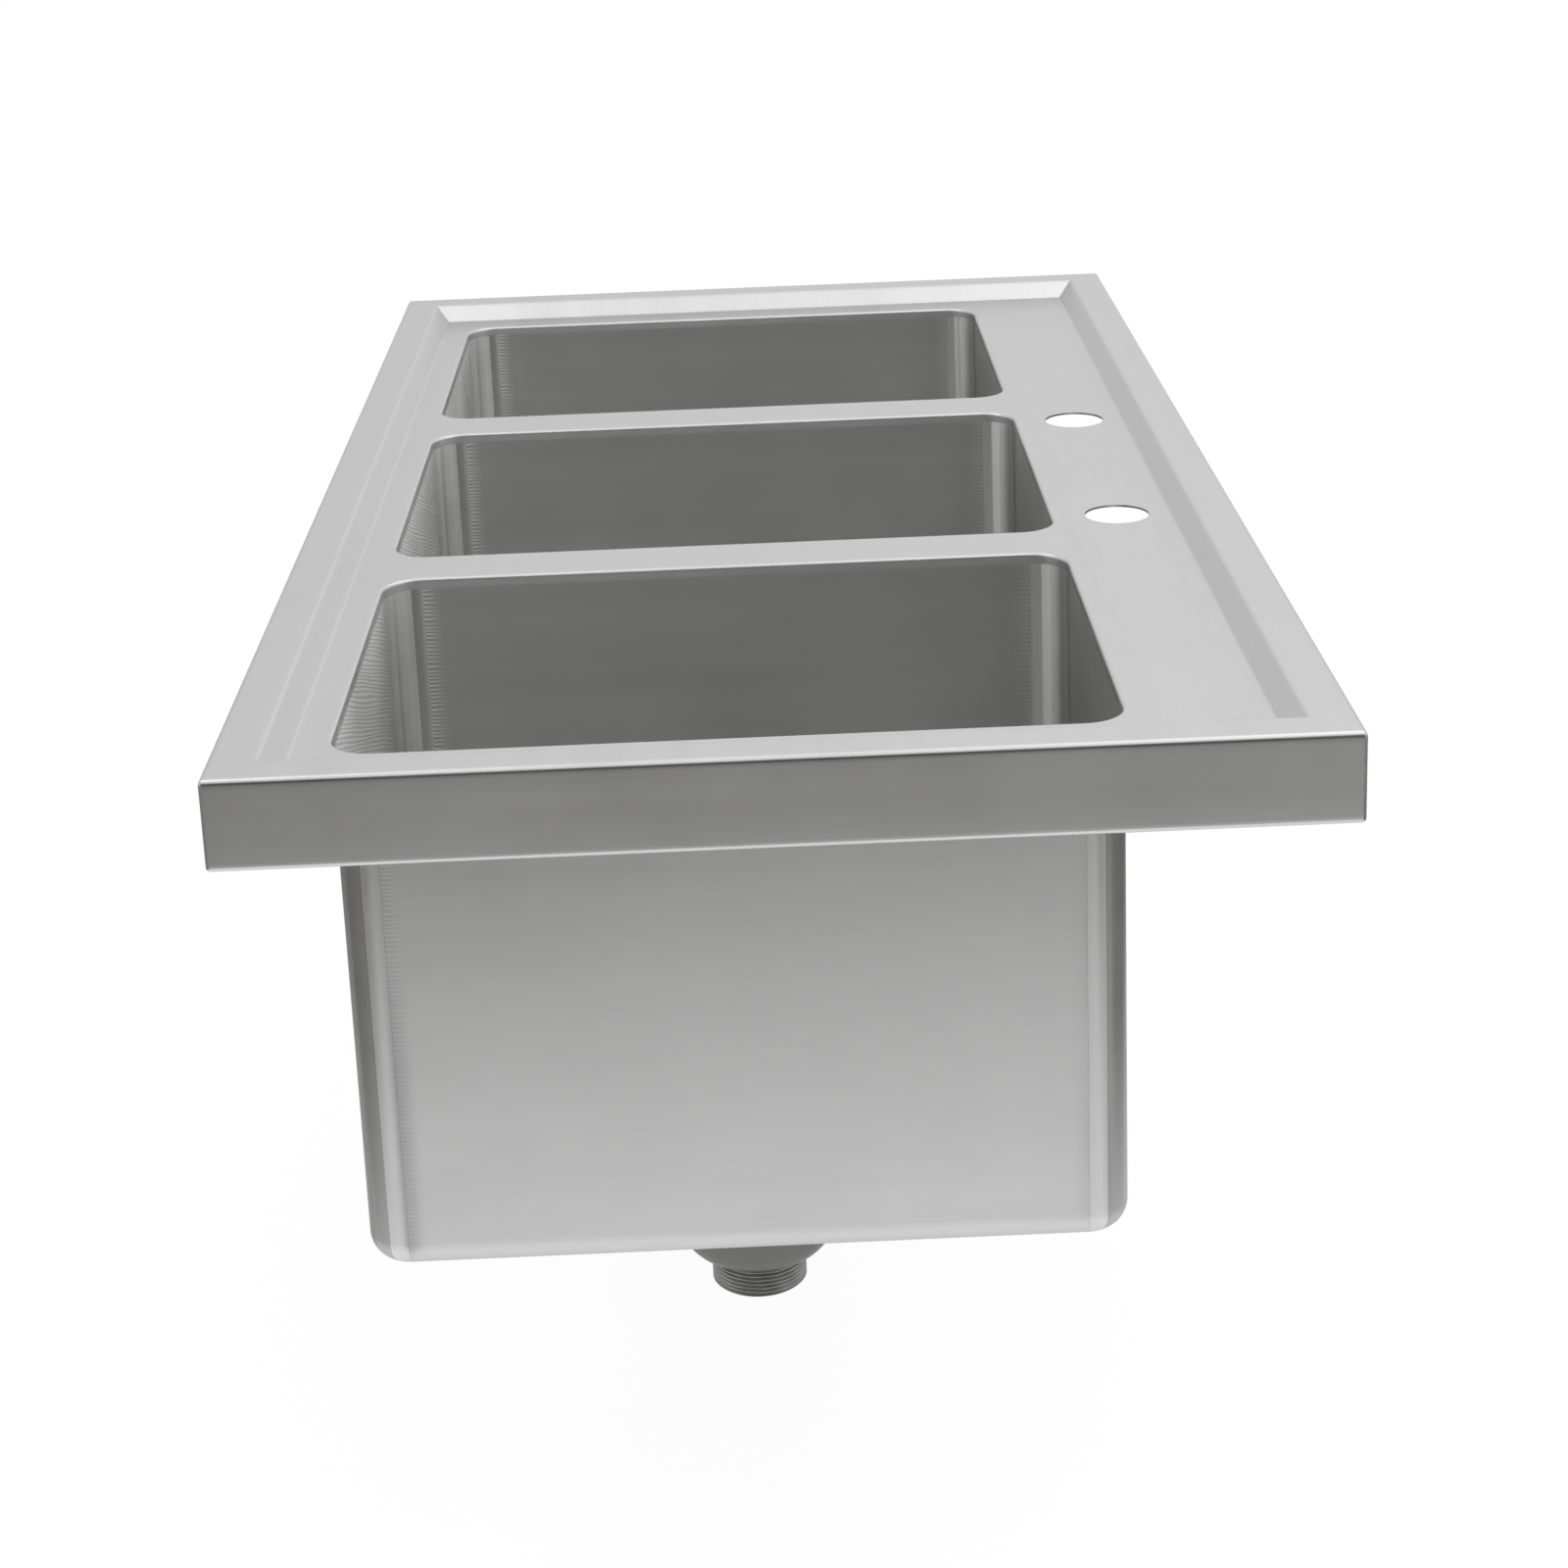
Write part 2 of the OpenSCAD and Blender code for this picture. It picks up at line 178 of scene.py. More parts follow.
class DrainSizes(bpy.types.PropertyGroup):
    """Sizes of one drain, with heights below the bowl floor"""

    flange_radius: length("Flange radius", "Radius of the flange", (DRAIN_HIGH.x - DRAIN_LOW.x) / 2)
    flange_depth: length("Flange depth", "Depth of the top of the flange", FLOOR_Z - DRAIN_HIGH.z)
    wall: length("Wall", "Thickness of the cup and the flange", 1.5 * MM)
    cup_radius: length("Cup radius", "Outside radius of the cup", 42.5 * MM)
    cup_depth: length("Cup depth", "Depth of the cup", FLOOR_Z - DRAIN_LOW.z - NIPPLE_LENGTH)
    dome_radius: length("Dome radius", "Radius of the domed bottom", 26 * MM)
    nipple_radius: length("Nipple radius", "Outside radius of the outlet nipple", 24.13 * MM)
    outlet_radius: length("Outlet radius", "Radius of the water way", 20 * MM)
    end_depth: length("End depth", "Depth of the end of the nipple", FLOOR_Z - DRAIN_LOW.z)
    thread_pitch: length("Thread pitch", "Pitch of the nipple thread", 2.209 * MM)
    thread_depth: length("Thread depth", "Depth of the nipple thread", 1.1 * MM)
    cup_pitch: length("Cup thread pitch", "Pitch of the thread under the flange", 2 * MM)
    cup_thread: length("Cup thread depth", "Depth of the thread under the flange", 0.7 * MM)
    cup_thread_end: length("Cup thread end", "Depth at which the cup thread runs out", 36 * MM)
    washer_radius: length("Washer radius", "Outside radius of the washer and the ring", 54 * MM)
    lug_width: length("Lug width", "Width of a lug on the locknut", 10 * MM)


class BasketSizes(bpy.types.PropertyGroup):
    """Sizes of one basket, with heights below the bowl floor"""

    top_radius: length("Top radius", "Radius of the basket at its mouth", 37 * MM)
    top_depth: length("Top depth", "Depth of the mouth", 16 * MM)
    floor_radius: length("Floor radius", "Radius of the basket at its floor", 27 * MM)
    floor_depth: length("Floor depth", "Depth of the basket floor", FLOOR_Z - BASKET_LOW.z)
    wall: length("Wall", "Thickness of the basket wall", 0.8 * MM)
    lip_radius: length("Lip radius", "Radius of the rolled mouth", 1.6 * MM)
    hole_radius: length("Hole radius", "Radius of the holes", 2.5 * MM)
    ring_top: length("Top ring", "Depth of the upper ring of holes", 28 * MM)
    ring_step: length("Ring step", "Distance from one ring of holes to the next", 10 * MM)
    floor_ring: length("Floor ring", "Radius of the ring of holes in the floor", 17 * MM)
    post_radius: length("Post radius", "Radius of the lifting post", 3 * MM)
    hub_radius: length("Hub radius", "Radius of the hub and the button", 6 * MM)
    knob_radius: length("Knob radius", "Radius of the knob", 9 * MM)
    knob_under: length("Knob under", "Depth of the underside of the knob", 9 * MM)
    knob_top: length("Knob top", "Depth of the crown of the knob", 1 * MM)
    button: length("Button", "Thickness of the button under the stopper", 1.2 * MM)
    stopper_radius: length("Stopper radius", "Radius of the rubber stopper", 29.5 * MM)
    stopper_foot: length("Stopper foot", "Radius of the foot of the stopper", 21 * MM)
    stopper_top: length("Stopper top", "Depth of the top of the stopper", FLOOR_Z - STOPPER_HIGH.z)
    stopper_under: length("Stopper under", "Depth of the underside of the stopper", FLOOR_Z - STOPPER_LOW.z)


class Finishes(bpy.types.PropertyGroup):
    """Colours of the materials"""

    deck: tint("Deck steel", "Brushed sheet of the deck", (0.67, 0.67, 0.67))
    bowl: tint("Bowl steel inside", "Sheet of the bowls on the inside", (0.62, 0.619, 0.611))
    bowl_outside: tint("Bowl steel outside", "Sheet of the bowls on the outside", (0.66, 0.66, 0.66))
    # The drain steel is made far darker than steel is, which paints the shade that the drains reflect under
    # the bowls
    drain: tint("Drain steel", "Spun steel of the drains", (0.17, 0.17, 0.167))
    nut: tint("Nut metal", "Plated casting of the locknuts", (0.48, 0.48, 0.46))
    basket: tint("Basket steel", "Polished steel of the baskets", (0.66, 0.66, 0.66))
    rubber: tint("Rubber", "Black rubber of the seals", (0.025, 0.025, 0.026))
    fibre: tint("Fibre", "Pressed fibre of the friction rings", (0.36, 0.26, 0.15))


class StageSettings(bpy.types.PropertyGroup):
    """Floor, light and camera"""

    floor_gap: length("Floor gap", "Distance from the drains down to the floor", 120 * MM)
    card: tint("Grey cards", "Shade of the cards that the upright faces reflect", (0.18, 0.177, 0.168))
    dark: tint("Dark end", "Shade of the unlit end of the studio", (0.08, 0.08, 0.078))
    overhead_power: amount("Overhead light", "Power of the softbox overhead, in watts", 2.5)
    back_power: amount("Back light", "Power of the softbox at the back, in watts", 19.0)
    front_power: amount("Front light", "Power of the softbox at the front, in watts", 6.0)
    camera_front: length("Camera distance", "Distance of the camera from the near end", 1213.05 * MM)
    camera_rise: length("Camera rise", "Height of the camera above the rim", 466.01 * MM)
    camera_aside: amount("Camera aside", "Sideways place of the camera in metres", -11.44 * MM)
    camera_yaw: amount("Yaw", "Turn of the camera to the back, in degrees", 0.726)
    camera_pitch: amount("Pitch", "Tilt of the camera downwards, in degrees", 16.372)
    camera_roll: amount("Roll", "Roll of the camera, in degrees", -2.17)
    focal_ratio: amount("Focal ratio", "Focal length as a share of the picture's width", 3102.5 / 1600)
    shift: amount("Shift", "Shift of the picture, as a share of its width", -0.175)


def rounded_path(corners, steps=BEND_STEPS):
    """Points along (x, y, radius) corners, with an arc in place of each inner corner that has a radius."""
    path = [Vector(corners[0][:2])]
    for before, corner, after in zip(corners, corners[1:], corners[2:]):
        point = Vector(corner[:2])
        come = (point - Vector(before[:2])).normalized()
        go = (Vector(after[:2]) - point).normalized()
        turn = math.atan2(come.cross(go), come.dot(go))
        if corner[2] <= 0 or abs(turn) < 1e-6:
            path.append(point)
            continue
        start = point - come * corner[2] * math.tan(abs(turn) / 2)
        spoke = Vector((come.y, -come.x)) * math.copysign(corner[2], turn)
        for k in range(steps + 1):
            path.append(start - spoke + Matrix.Rotation(turn * k / steps, 2) @ spoke)
    path.append(Vector(corners[-1][:2]))
    return path


def with_margins(path, margin=FLAT_MARGIN):
    """The path with a point near both ends of each long stretch, so that flats stay flat in shading."""
    held = [path[0]]
    for first, second in zip(path, path[1:]):
        stretch = second - first
        if stretch.length > 3 * margin:
            step = stretch.normalized() * margin
            held += [first + step, second - step]
        if stretch.length > MERGE:
            held.append(second)
    return held


def side_stops(half, reach, count):
    """Evenly spaced places along a straight side, kept clear of its ends."""
    end = min(reach, half - MM)
    return [end * (2 * k / count - 1) for k in range(count + 1)]


def rectangle_loop(half_x, half_y, radius, stops_x, stops_y):
    """Counter-clockwise points round a rectangle with round corners, with the given stops along its sides."""
    sides = [
        [(half_x, y) for y in stops_y],
        [(x, half_y) for x in reversed(stops_x)],
        [(-half_x, y) for y in reversed(stops_y)],
        [(x, -half_y) for x in stops_x],
    ]
    signs = [(1, 1), (-1, 1), (-1, -1), (1, -1)]
    loop = []
    for quarter, (side, sign) in enumerate(zip(sides, signs)):
        loop += side
        centre = (sign[0] * (half_x - radius), sign[1] * (half_y - radius))
        for k in range(CORNER_STEPS + 1):
            angle = (quarter + k / CORNER_STEPS) * math.pi / 2
            loop.append((centre[0] + radius * math.cos(angle), centre[1] + radius * math.sin(angle)))
    return loop


def circle_loop(radius, count=TURNS):
    """Counter-clockwise points round a circle."""
    angles = [math.tau * k / count for k in range(count)]
    return [(radius * math.cos(a), radius * math.sin(a)) for a in angles]


def is_inside(point, outline):
    """Whether a point lies inside a convex counter-clockwise outline."""
    return all((b - a).cross(point - a) > 0 for a, b in zip(outline, outline[1:] + outline[:1]))


class Shape:
    """Points, faces and marks of one piece while it is being made."""

    def __init__(self):
        self.points = []
        self.faces = []
        self.marks = {"ground": [], "seam": [], "thread": []}

    def row(self, points, ground=0.0, seam=0.0, thread=0.0):
        """Adds a row of points and returns their numbers; a mark is one value, or one for each point.

        Ground tells how much a spot was ground, seam how far it lies round the cove of a front panel, or of a
        back panel with a minus sign, and thread which thread is cut.
        """
        start = len(self.points)
        self.points += [tuple(p) for p in points]
        count = len(self.points) - start
        for name, mark in (("ground", ground), ("seam", seam), ("thread", thread)):
            self.marks[name] += mark if isinstance(mark, list) else [mark] * count
        return list(range(start, len(self.points)))

    def bridge(self, first, second, closed=False):
        """Adds faces between two rows, facing up where the second lies outside a first that turns left."""
        count = len(first)
        for k in range(count if closed else count - 1):
            after = (k + 1) % count
            self.faces.append((first[k], second[k], second[after], first[after]))

    def plate(self, outer, holes):
        """Fills the flat area inside a convex outline, round convex holes."""
        loops = [outer, *holes]
        numbers = [n for loop in loops for n in loop]
        flat = [Vector(self.points[n][:2]) for n in numbers]
        edges = []
        start = 0
        for loop in loops:
            edges += [(start + k, start + (k + 1) % len(loop)) for k in range(len(loop))]
            start += len(loop)
        found = delaunay_2d_cdt(flat, edges, [], 0, MERGE / 10)
        places, triangles, origins = found[0], found[2], found[3]
        outlines = [[Vector(self.points[n][:2]) for n in hole] for hole in holes]
        for triangle in triangles:
            middle = sum((places[v] for v in triangle), Vector((0, 0))) / 3
            if not any(is_inside(middle, outline) for outline in outlines):
                self.faces.append(tuple(numbers[origins[v][0]] for v in triangle))

    def mesh(self, name, materials, turn_out=False):
        """The shape as a mesh with doubled points merged, and on request with its faces turned outwards."""
        mesh = bpy.data.meshes.new(name)
        mesh.from_pydata(self.points, [], self.faces)
        for mark, values in self.marks.items():
            mesh.attributes.new(mark, "FLOAT", "POINT").data.foreach_set("value", values)
        for material in materials:
            mesh.materials.append(material)
        work = bmesh.new()
        work.from_mesh(mesh)
        bmesh.ops.remove_doubles(work, verts=work.verts, dist=MERGE)
        bmesh.ops.dissolve_degenerate(work, dist=MERGE, edges=work.edges)
        if turn_out:
            bmesh.ops.recalc_face_normals(work, faces=work.faces)
        work.to_mesh(mesh)
        work.free()
        return mesh


def settle(holder):
    """Turns an object with modifiers into a plain mesh and removes the object."""
    graph = bpy.context.evaluated_depsgraph_get()
    finished = holder.evaluated_get(graph)
    mesh = bpy.data.meshes.new_from_object(finished, preserve_all_data_layers=True, depsgraph=graph)
    mesh.name = holder.name
    bpy.data.objects.remove(holder)
    return mesh


def hold(mesh):
    """A bare object for a mesh that still needs its modifiers."""
    holder = bpy.data.objects.new(mesh.name, mesh)
    bpy.context.scene.collection.objects.link(holder)
    return holder


def thicken(mesh):
    """A sheet with its thickness on the back of the faces, where it takes the second material."""
    holder = hold(mesh)
    solid = holder.modifiers.new("Sheet thickness", "SOLIDIFY")
    solid.thickness = SHEET
    solid.offset = -1
    solid.use_even_offset = True
    solid.material_offset = 1
    solid.material_offset_rim = 1
    return settle(holder)


def lay_brush(mesh, along, axis):
    """A UV map whose U runs along the brushing: in one direction, or round an upright axis."""
    count = len(mesh.polygons)
    normals = np.empty(count * 3)
    mesh.polygons.foreach_get("normal", normals)
    normals = normals.reshape(-1, 3)
    if axis is None:
        direction = np.tile(np.array(along, float), (count, 1))
    else:
        centres = np.empty(count * 3)
        mesh.polygons.foreach_get("center", centres)
        direction = np.cross((0, 0, 1), centres.reshape(-1, 3) - np.array(axis, float))

    def on_face(vectors):
        return vectors - normals * np.sum(vectors * normals, axis=1, keepdims=True)

    brush = on_face(direction)
    weak = np.linalg.norm(brush, axis=1) < TINY
    brush[weak] = np.cross((0, 0, 1), normals)[weak]
    level = np.linalg.norm(brush, axis=1) < TINY
    brush[level] = (1, 0, 0)
    brush /= np.linalg.norm(brush, axis=1, keepdims=True)
    across = np.cross(normals, brush)
    corners = np.empty(len(mesh.loops), int)
    mesh.loops.foreach_get("vertex_index", corners)
    points = np.empty(len(mesh.vertices) * 3)
    mesh.vertices.foreach_get("co", points)
    points = points.reshape(-1, 3)[corners]
    sizes = np.empty(count, int)
    mesh.polygons.foreach_get("loop_total", sizes)
    face = np.repeat(np.arange(count), sizes)
    layout = np.stack([np.sum(points * brush[face], 1), np.sum(points * across[face], 1)], 1)
    mesh.uv_layers.new(name=BRUSH_MAP).data.foreach_set("uv", layout.astype(np.float32).ravel())


def add_piece(name, mesh, node, body, along=(1, 0, 0), axis=None):
    """Puts a finished mesh in the scene in place of a CAD node."""
    mesh.shade_smooth()
    mesh.set_sharp_from_angle(angle=CREASE)
    lay_brush(mesh, along, axis)
    piece = bpy.data.objects.new(name, mesh)
    bpy.context.scene.collection.objects.link(piece)
    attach(piece, body)
    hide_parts(node)
    return piece


def bowl_centre(side):
    """The middle of a bowl's floor."""
    low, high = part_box(f"{side}_bowl_wrap")
    return Vector(((low.x + high.x) / 2, BOWL_Y, FLOOR_Z))


def add_at_drains(mesh, node, moving=False):
    """Puts a copy of a turned mesh on the axis of each drain, in place of that drain's CAD node."""
    for side in SIDES:
        axis = Vector((bowl_centre(side).x, DRAIN_Y, FLOOR_Z))
        copy = mesh.copy()
        copy.transform(Matrix.Translation(axis))
        body = f"{side}_basket" if moving else FIXED_BODY
        add_piece(f"{side}_{node}_made", copy, f"{side}_{node}", body, axis=axis)
    bpy.data.meshes.remove(mesh)


def turned(name, outline, materials, closed=True, threads=None):
    """A solid turned about Z from (radius, height) points; an open outline starts and ends on the axis."""
    shape = Shape()
    rings = []
    for number, (radius, height) in enumerate(outline):
        thread = threads[number] if threads else 0.0
        rings.append(shape.row([(x, y, height) for x, y in circle_loop(max(radius, 0.0))], thread=thread))
    pairs = list(zip(rings, rings[1:]))
    if closed:
        pairs.append((rings[-1], rings[0]))
    for first, second in pairs:
        shape.bridge(second, first, closed=True)
    return shape.mesh(name, materials, turn_out=True)


def closed_outline(corners, steps=BEND_STEPS):
    """A closed outline of (x, y, radius) corners with margins on its flats."""
    first = Vector(corners[0][:2])
    second = Vector(corners[1][:2])
    start = (*((first + second) / 2), 0)
    path = rounded_path([start, *corners[1:], corners[0], start], steps)
    return with_margins(path)[:-1]


def place(tree, kind, settings=None, inputs=None):
    """Adds a node with its settings and its inputs, which are values or the sockets that feed them."""
    node = tree.nodes.new(kind)
    for key, value in (settings or {}).items():
        setattr(node, key, value)
    for key, value in (inputs or {}).items():
        if isinstance(value, bpy.types.NodeSocket):
            tree.links.new(value, node.inputs[key])
        else:
            node.inputs[key].default_value = value
    return node


def result(tree, kind, settings=None, inputs=None):
    """The first output of a new node."""
    return place(tree, kind, settings, inputs).outputs[0]


def maths(tree, operation, first, second=0.0, third=0.0):
    """The result of one Math node."""
    return result(tree, "ShaderNodeMath", {"operation": operation}, {0: first, 1: second, 2: third})


def product(tree, first, *others):
    """Several values multiplied together."""
    for other in others:
        first = maths(tree, "MULTIPLY", first, other)
    return first


def around_one(tree, value, spread):
    """A value from 0 to 1 as a factor that strays from 1 by the spread."""
    return maths(tree, "MULTIPLY_ADD", value, 2 * spread, 1.0 - spread)


def scaled(tree, vector, factor):
    """A vector or a colour times a factor."""
    return result(tree, "ShaderNodeVectorMath", {"operation": "SCALE"}, {0: vector, "Scale": factor})


def combined(tree, x=0.0, y=0.0, z=0.0):
    """A vector from its three parts."""
    return result(tree, "ShaderNodeCombineXYZ", inputs={0: x, 1: y, 2: z})


def ranged(tree, value, start=(0.0, 0.0), stop=(1.0, 1.0), kind="LINEAR"):
    """A value that runs from one (input, output) pair to another and stays level beyond them."""
    ends = {"From Min": start[0], "From Max": stop[0], "To Min": start[1], "To Max": stop[1]}
    return result(tree, "ShaderNodeMapRange", {"interpolation_type": kind}, {"Value": value, **ends})


def mark(tree, name):
    """One of the marks that a mesh carries."""
    return place(tree, "ShaderNodeAttribute", {"attribute_name": name}).outputs["Fac"]


def noise(tree, vector, scale, detail, dimensions="3D"):
    """The result of one Noise node."""
    inputs = {"Vector": vector, "Scale": scale, "Detail": detail}
    return place(tree, "ShaderNodeTexNoise", {"noise_dimensions": dimensions}, inputs).outputs["Fac"]


def bump(tree, height, strength, distance, normal=None):
    """The normal of an uneven surface, laid over another one."""
    inputs = {"Height": height, "Strength": strength, "Distance": distance}
    if normal is not None:
        inputs["Normal"] = normal
    return result(tree, "ShaderNodeBump", inputs=inputs)


def group_tree(name, kind, inputs, outputs):
    """An empty node group with named sockets, and its input and output nodes."""
    tree = bpy.data.node_groups.new(name, kind)
    for socket, socket_kind, value in inputs:
        made = tree.interface.new_socket(socket, in_out="INPUT", socket_type=socket_kind)
        if value is not None:
            made.default_value = value
    for socket, socket_kind in outputs:
        tree.interface.new_socket(socket, in_out="OUTPUT", socket_type=socket_kind)
    return tree, tree.nodes.new("NodeGroupInput").outputs, tree.nodes.new("NodeGroupOutput").inputs


def effect(tree, name, build, inputs):
    """The outputs of a shared shader group, which is built the first time it is asked for."""
    group = bpy.data.node_groups.get(name) or build(name)
    return place(tree, "ShaderNodeGroup", {"node_tree": group}, inputs).outputs


def brushed_grain(name):
    """Fine scratches and broad streaks along the brushing."""
    tree, given, made = group_tree(
        name,
        "ShaderNodeTree",
        [
            ("Brush", "NodeSocketVector", None),
            ("Scratch length", "NodeSocketFloat", 0.05),
            ("Scratch width", "NodeSocketFloat", 0.0005),
            ("Streak width", "NodeSocketFloat", 0.012),
        ],
        [("Scratch", "NodeSocketFloat"), ("Streak", "NodeSocketFloat")],
    )
    parts = place(tree, "ShaderNodeSeparateXYZ", inputs={0: given["Brush"]}).outputs

    def lines(long_size, wide_size, detail):
        along = maths(tree, "DIVIDE", parts["X"], long_size)
        across = maths(tree, "DIVIDE", parts["Y"], wide_size)
        return noise(tree, combined(tree, along, across), 1.0, detail, "2D")

    tree.links.new(lines(given["Scratch length"], given["Scratch width"], 3.0), made["Scratch"])
    streak_length = maths(tree, "MULTIPLY", given["Streak width"], 60.0)
    tree.links.new(lines(streak_length, given["Streak width"], 2.0), made["Streak"])
    return tree


def handling_marks(name):
    """Soft patches where the sheet was wiped and handled, and the slight waves of sheet metal."""
    tree, given, made = group_tree(
        name,
        "ShaderNodeTree",
        [("Vector", "NodeSocketVector", None), ("Patch size", "NodeSocketFloat", 0.06)],
        [("Patch", "NodeSocketFloat"), ("Wave", "NodeSocketFloat")],
    )
    scale = maths(tree, "DIVIDE", 1.0, given["Patch size"])
    tree.links.new(noise(tree, given["Vector"], scale, 4.0), made["Patch"])
    broad = maths(tree, "MULTIPLY", scale, 0.5)
    tree.links.new(noise(tree, given["Vector"], broad, 1.0), made["Wave"])
    return tree


def grinding_ripples(name):
    """The scalloped ripples that a grinding belt leaves beside a weld."""
    tree, given, made = group_tree(
        name,
        "ShaderNodeTree",
        [
            ("Vector", "NodeSocketVector", None),
            ("Mask", "NodeSocketFloat", 0.0),
            ("Lean", "NodeSocketFloat", 0.0),
            ("Spacing", "NodeSocketFloat", 0.002),
        ],
        [("Ripple", "NodeSocketFloat"), ("Shade", "NodeSocketFloat"), ("Patch", "NodeSocketFloat")],
    )
    scale = maths(tree, "DIVIDE", WAVE_PERIOD, given["Spacing"])
    parts = place(tree, "ShaderNodeSeparateXYZ", inputs={0: given["Vector"]}).outputs
    along = maths(tree, "MULTIPLY", parts["X"], RIPPLE_DRAW)
    aside = maths(tree, "MULTIPLY", parts["Y"], RIPPLE_DRAW)
    across = maths(tree, "SUBTRACT", parts["Z"], maths(tree, "MULTIPLY", parts["X"], given["Lean"]))
    drawn_out = combined(tree, along, aside, across)
    bands = place(
        tree,
        "ShaderNodeTexWave",
        {"wave_type": "BANDS", "bands_direction": "Z", "wave_profile": "SIN"},
        {"Vector": drawn_out, "Scale": scale, "Distortion": 8.0, "Detail": 2.0, "Detail Scale": 0.5},
    ).outputs["Fac"]
    tree.links.new(maths(tree, "MULTIPLY", bands, given["Mask"]), made["Ripple"])
    level = maths(tree, "SUBTRACT", bands, 0.5)
    tree.links.new(maths(tree, "MULTIPLY", level, given["Mask"]), made["Shade"])
    patch = noise(tree, given["Vector"], maths(tree, "DIVIDE", 0.03, given["Spacing"]), 2.0)
    tree.links.new(maths(tree, "MULTIPLY", patch, given["Mask"]), made["Patch"])
    return tree


def new_material(name):
    """An empty material, its tree and its Principled shader."""
    material = bpy.data.materials.new(name)
    material.use_nodes = True
    tree = material.node_tree
    tree.nodes.clear()
    shader = place(tree, "ShaderNodeBsdfPrincipled")
    place(tree, "ShaderNodeOutputMaterial", inputs={"Surface": shader.outputs[0]})
    return material, tree, shader


def weld_and_painted_light_tone(tree, seam, stops):
    """The tone across the welded edges of the panels and the turned-down edges of the deck, weld lines with
    painted light and shade, from (millimetres round the cove, tone) stops.
    """
    reach = stops[-1][0]
    share = ranged(tree, seam, (-reach * MM, 0.0), (reach * MM, 1.0))
    ramp = place(tree, "ShaderNodeValToRGB", inputs={0: share})
    marks = ramp.color_ramp.elements
    for where, _ in stops[1:-1]:
        marks.new(0.5 + where / reach / 2)
    for stop, (_, tone) in zip(marks, stops):
        stop.color = (*(tone / BRIGHTEST,) * 3, 1)
    return maths(tree, "MULTIPLY", ramp.outputs["Color"], BRIGHTEST)


def steel(name, colour, roughness, anisotropy, ripple=0.0, shade=0.0, lift=0.0, weld_and_painted_light=None):
    """Brushed sheet with scratches and streaks along its brush map, wiping marks, welds, ripples, and painted
    light and shade from the given stops.
    """
    material, tree, shader = new_material(name)
    constants = {
        "Metallic": 1.0,
        "Anisotropic": anisotropy,
        "Anisotropic Rotation": ACROSS_BRUSH,
        "Specular Tint": EDGE_TINT,
    }
    for socket, value in constants.items():
        shader.inputs[socket].default_value = value
    brush = result(tree, "ShaderNodeUVMap", {"uv_map": BRUSH_MAP})
    tangent = result(tree, "ShaderNodeTangent", {"direction_type": "UV_MAP", "uv_map": BRUSH_MAP})
    where = place(tree, "ShaderNodeTexCoord").outputs["Object"]
    ground = ranged(tree, mark(tree, "ground"), kind="SMOOTHSTEP")
    seam = mark(tree, "seam")
    grain = effect(tree, "Brushed grain", brushed_grain, {"Brush": brush})
    wipe = effect(tree, "Handling marks", handling_marks, {"Vector": where})
    belt = {
        "Vector": where,
        "Mask": ground,
        "Lean": maths(tree, "MULTIPLY", seam, RIPPLE_LEAN),
        "Spacing": RIPPLE_SPACING,
    }
    grind = effect(tree, "Grinding ripples", grinding_ripples, belt)
    # Ground spots are made lighter by the lift: partly the look of the ground finish, partly a painted sheen
    # where the ripples would catch the light
    ground_tone_and_sheen = maths(tree, "MULTIPLY_ADD", ground, lift, 1.0)
    cut = maths(tree, "ABSOLUTE", mark(tree, "thread"))
    tones = [
        around_one(tree, grain["Streak"], 0.03),
        around_one(tree, grain["Scratch"], 0.04),
        around_one(tree, wipe["Patch"], 0.03),
        maths(tree, "MULTIPLY_ADD", grind["Shade"], 2 * shade, ground_tone_and_sheen),
        maths(tree, "MULTIPLY_ADD", cut, THREAD_GLEAM, 1.0),
    ]
    if weld_and_painted_light:
        tones.append(weld_and_painted_light_tone(tree, seam, weld_and_painted_light))
    uneven = product(
        tree, around_one(tree, grain["Streak"], 0.12), around_one(tree, wipe["Patch"], 0.15), roughness
    )
    scratches = bump(tree, grain["Scratch"], 0.08, 0.1 * MM)
    waves = bump(tree, wipe["Wave"], 0.3, 1 * MM, scratches)
    feeds = {
        "Base Color": scaled(tree, colour, product(tree, *tones)),
        "Roughness": maths(tree, "MULTIPLY_ADD", grind["Patch"], 0.4, uneven),
        "Normal": bump(tree, grind["Ripple"], ripple, 0.3 * MM, waves),
        "Tangent": tangent,
    }
    for socket, feed in feeds.items():
        tree.links.new(feed, shader.inputs[socket])
    return material


def matt(name, colour, roughness, speckle, grain_size, metallic=0.0):
    """Rubber, fibre or cast metal: a speckled colour with a fine uneven surface."""
    material, tree, shader = new_material(name)
    shader.inputs["Metallic"].default_value = metallic
    where = place(tree, "ShaderNodeTexCoord").outputs["Object"]
    grain = noise(tree, where, 1 / grain_size, 5.0)
    wipe = effect(tree, "Handling marks", handling_marks, {"Vector": where, "Patch size": 0.01})
    spread = 0.15
    feeds = {
        "Base Color": scaled(tree, colour, around_one(tree, grain, speckle)),
        "Roughness": maths(tree, "MULTIPLY_ADD", wipe["Patch"], 2 * spread, roughness - spread),
        "Normal": bump(tree, grain, 0.25, 0.1 * MM),
    }
    for socket, feed in feeds.items():
        tree.links.new(feed, shader.inputs[socket])
    return material


def end_tree(tree, shape, given, made):
    """Ends a geometry tree with plain faces in its material."""
    whole = result(tree, "GeometryNodeRealizeInstances", inputs={0: shape})
    inputs = {"Geometry": whole, "Material": given["Material"]}
    tree.links.new(result(tree, "GeometryNodeSetMaterial", inputs=inputs), made["Geometry"])


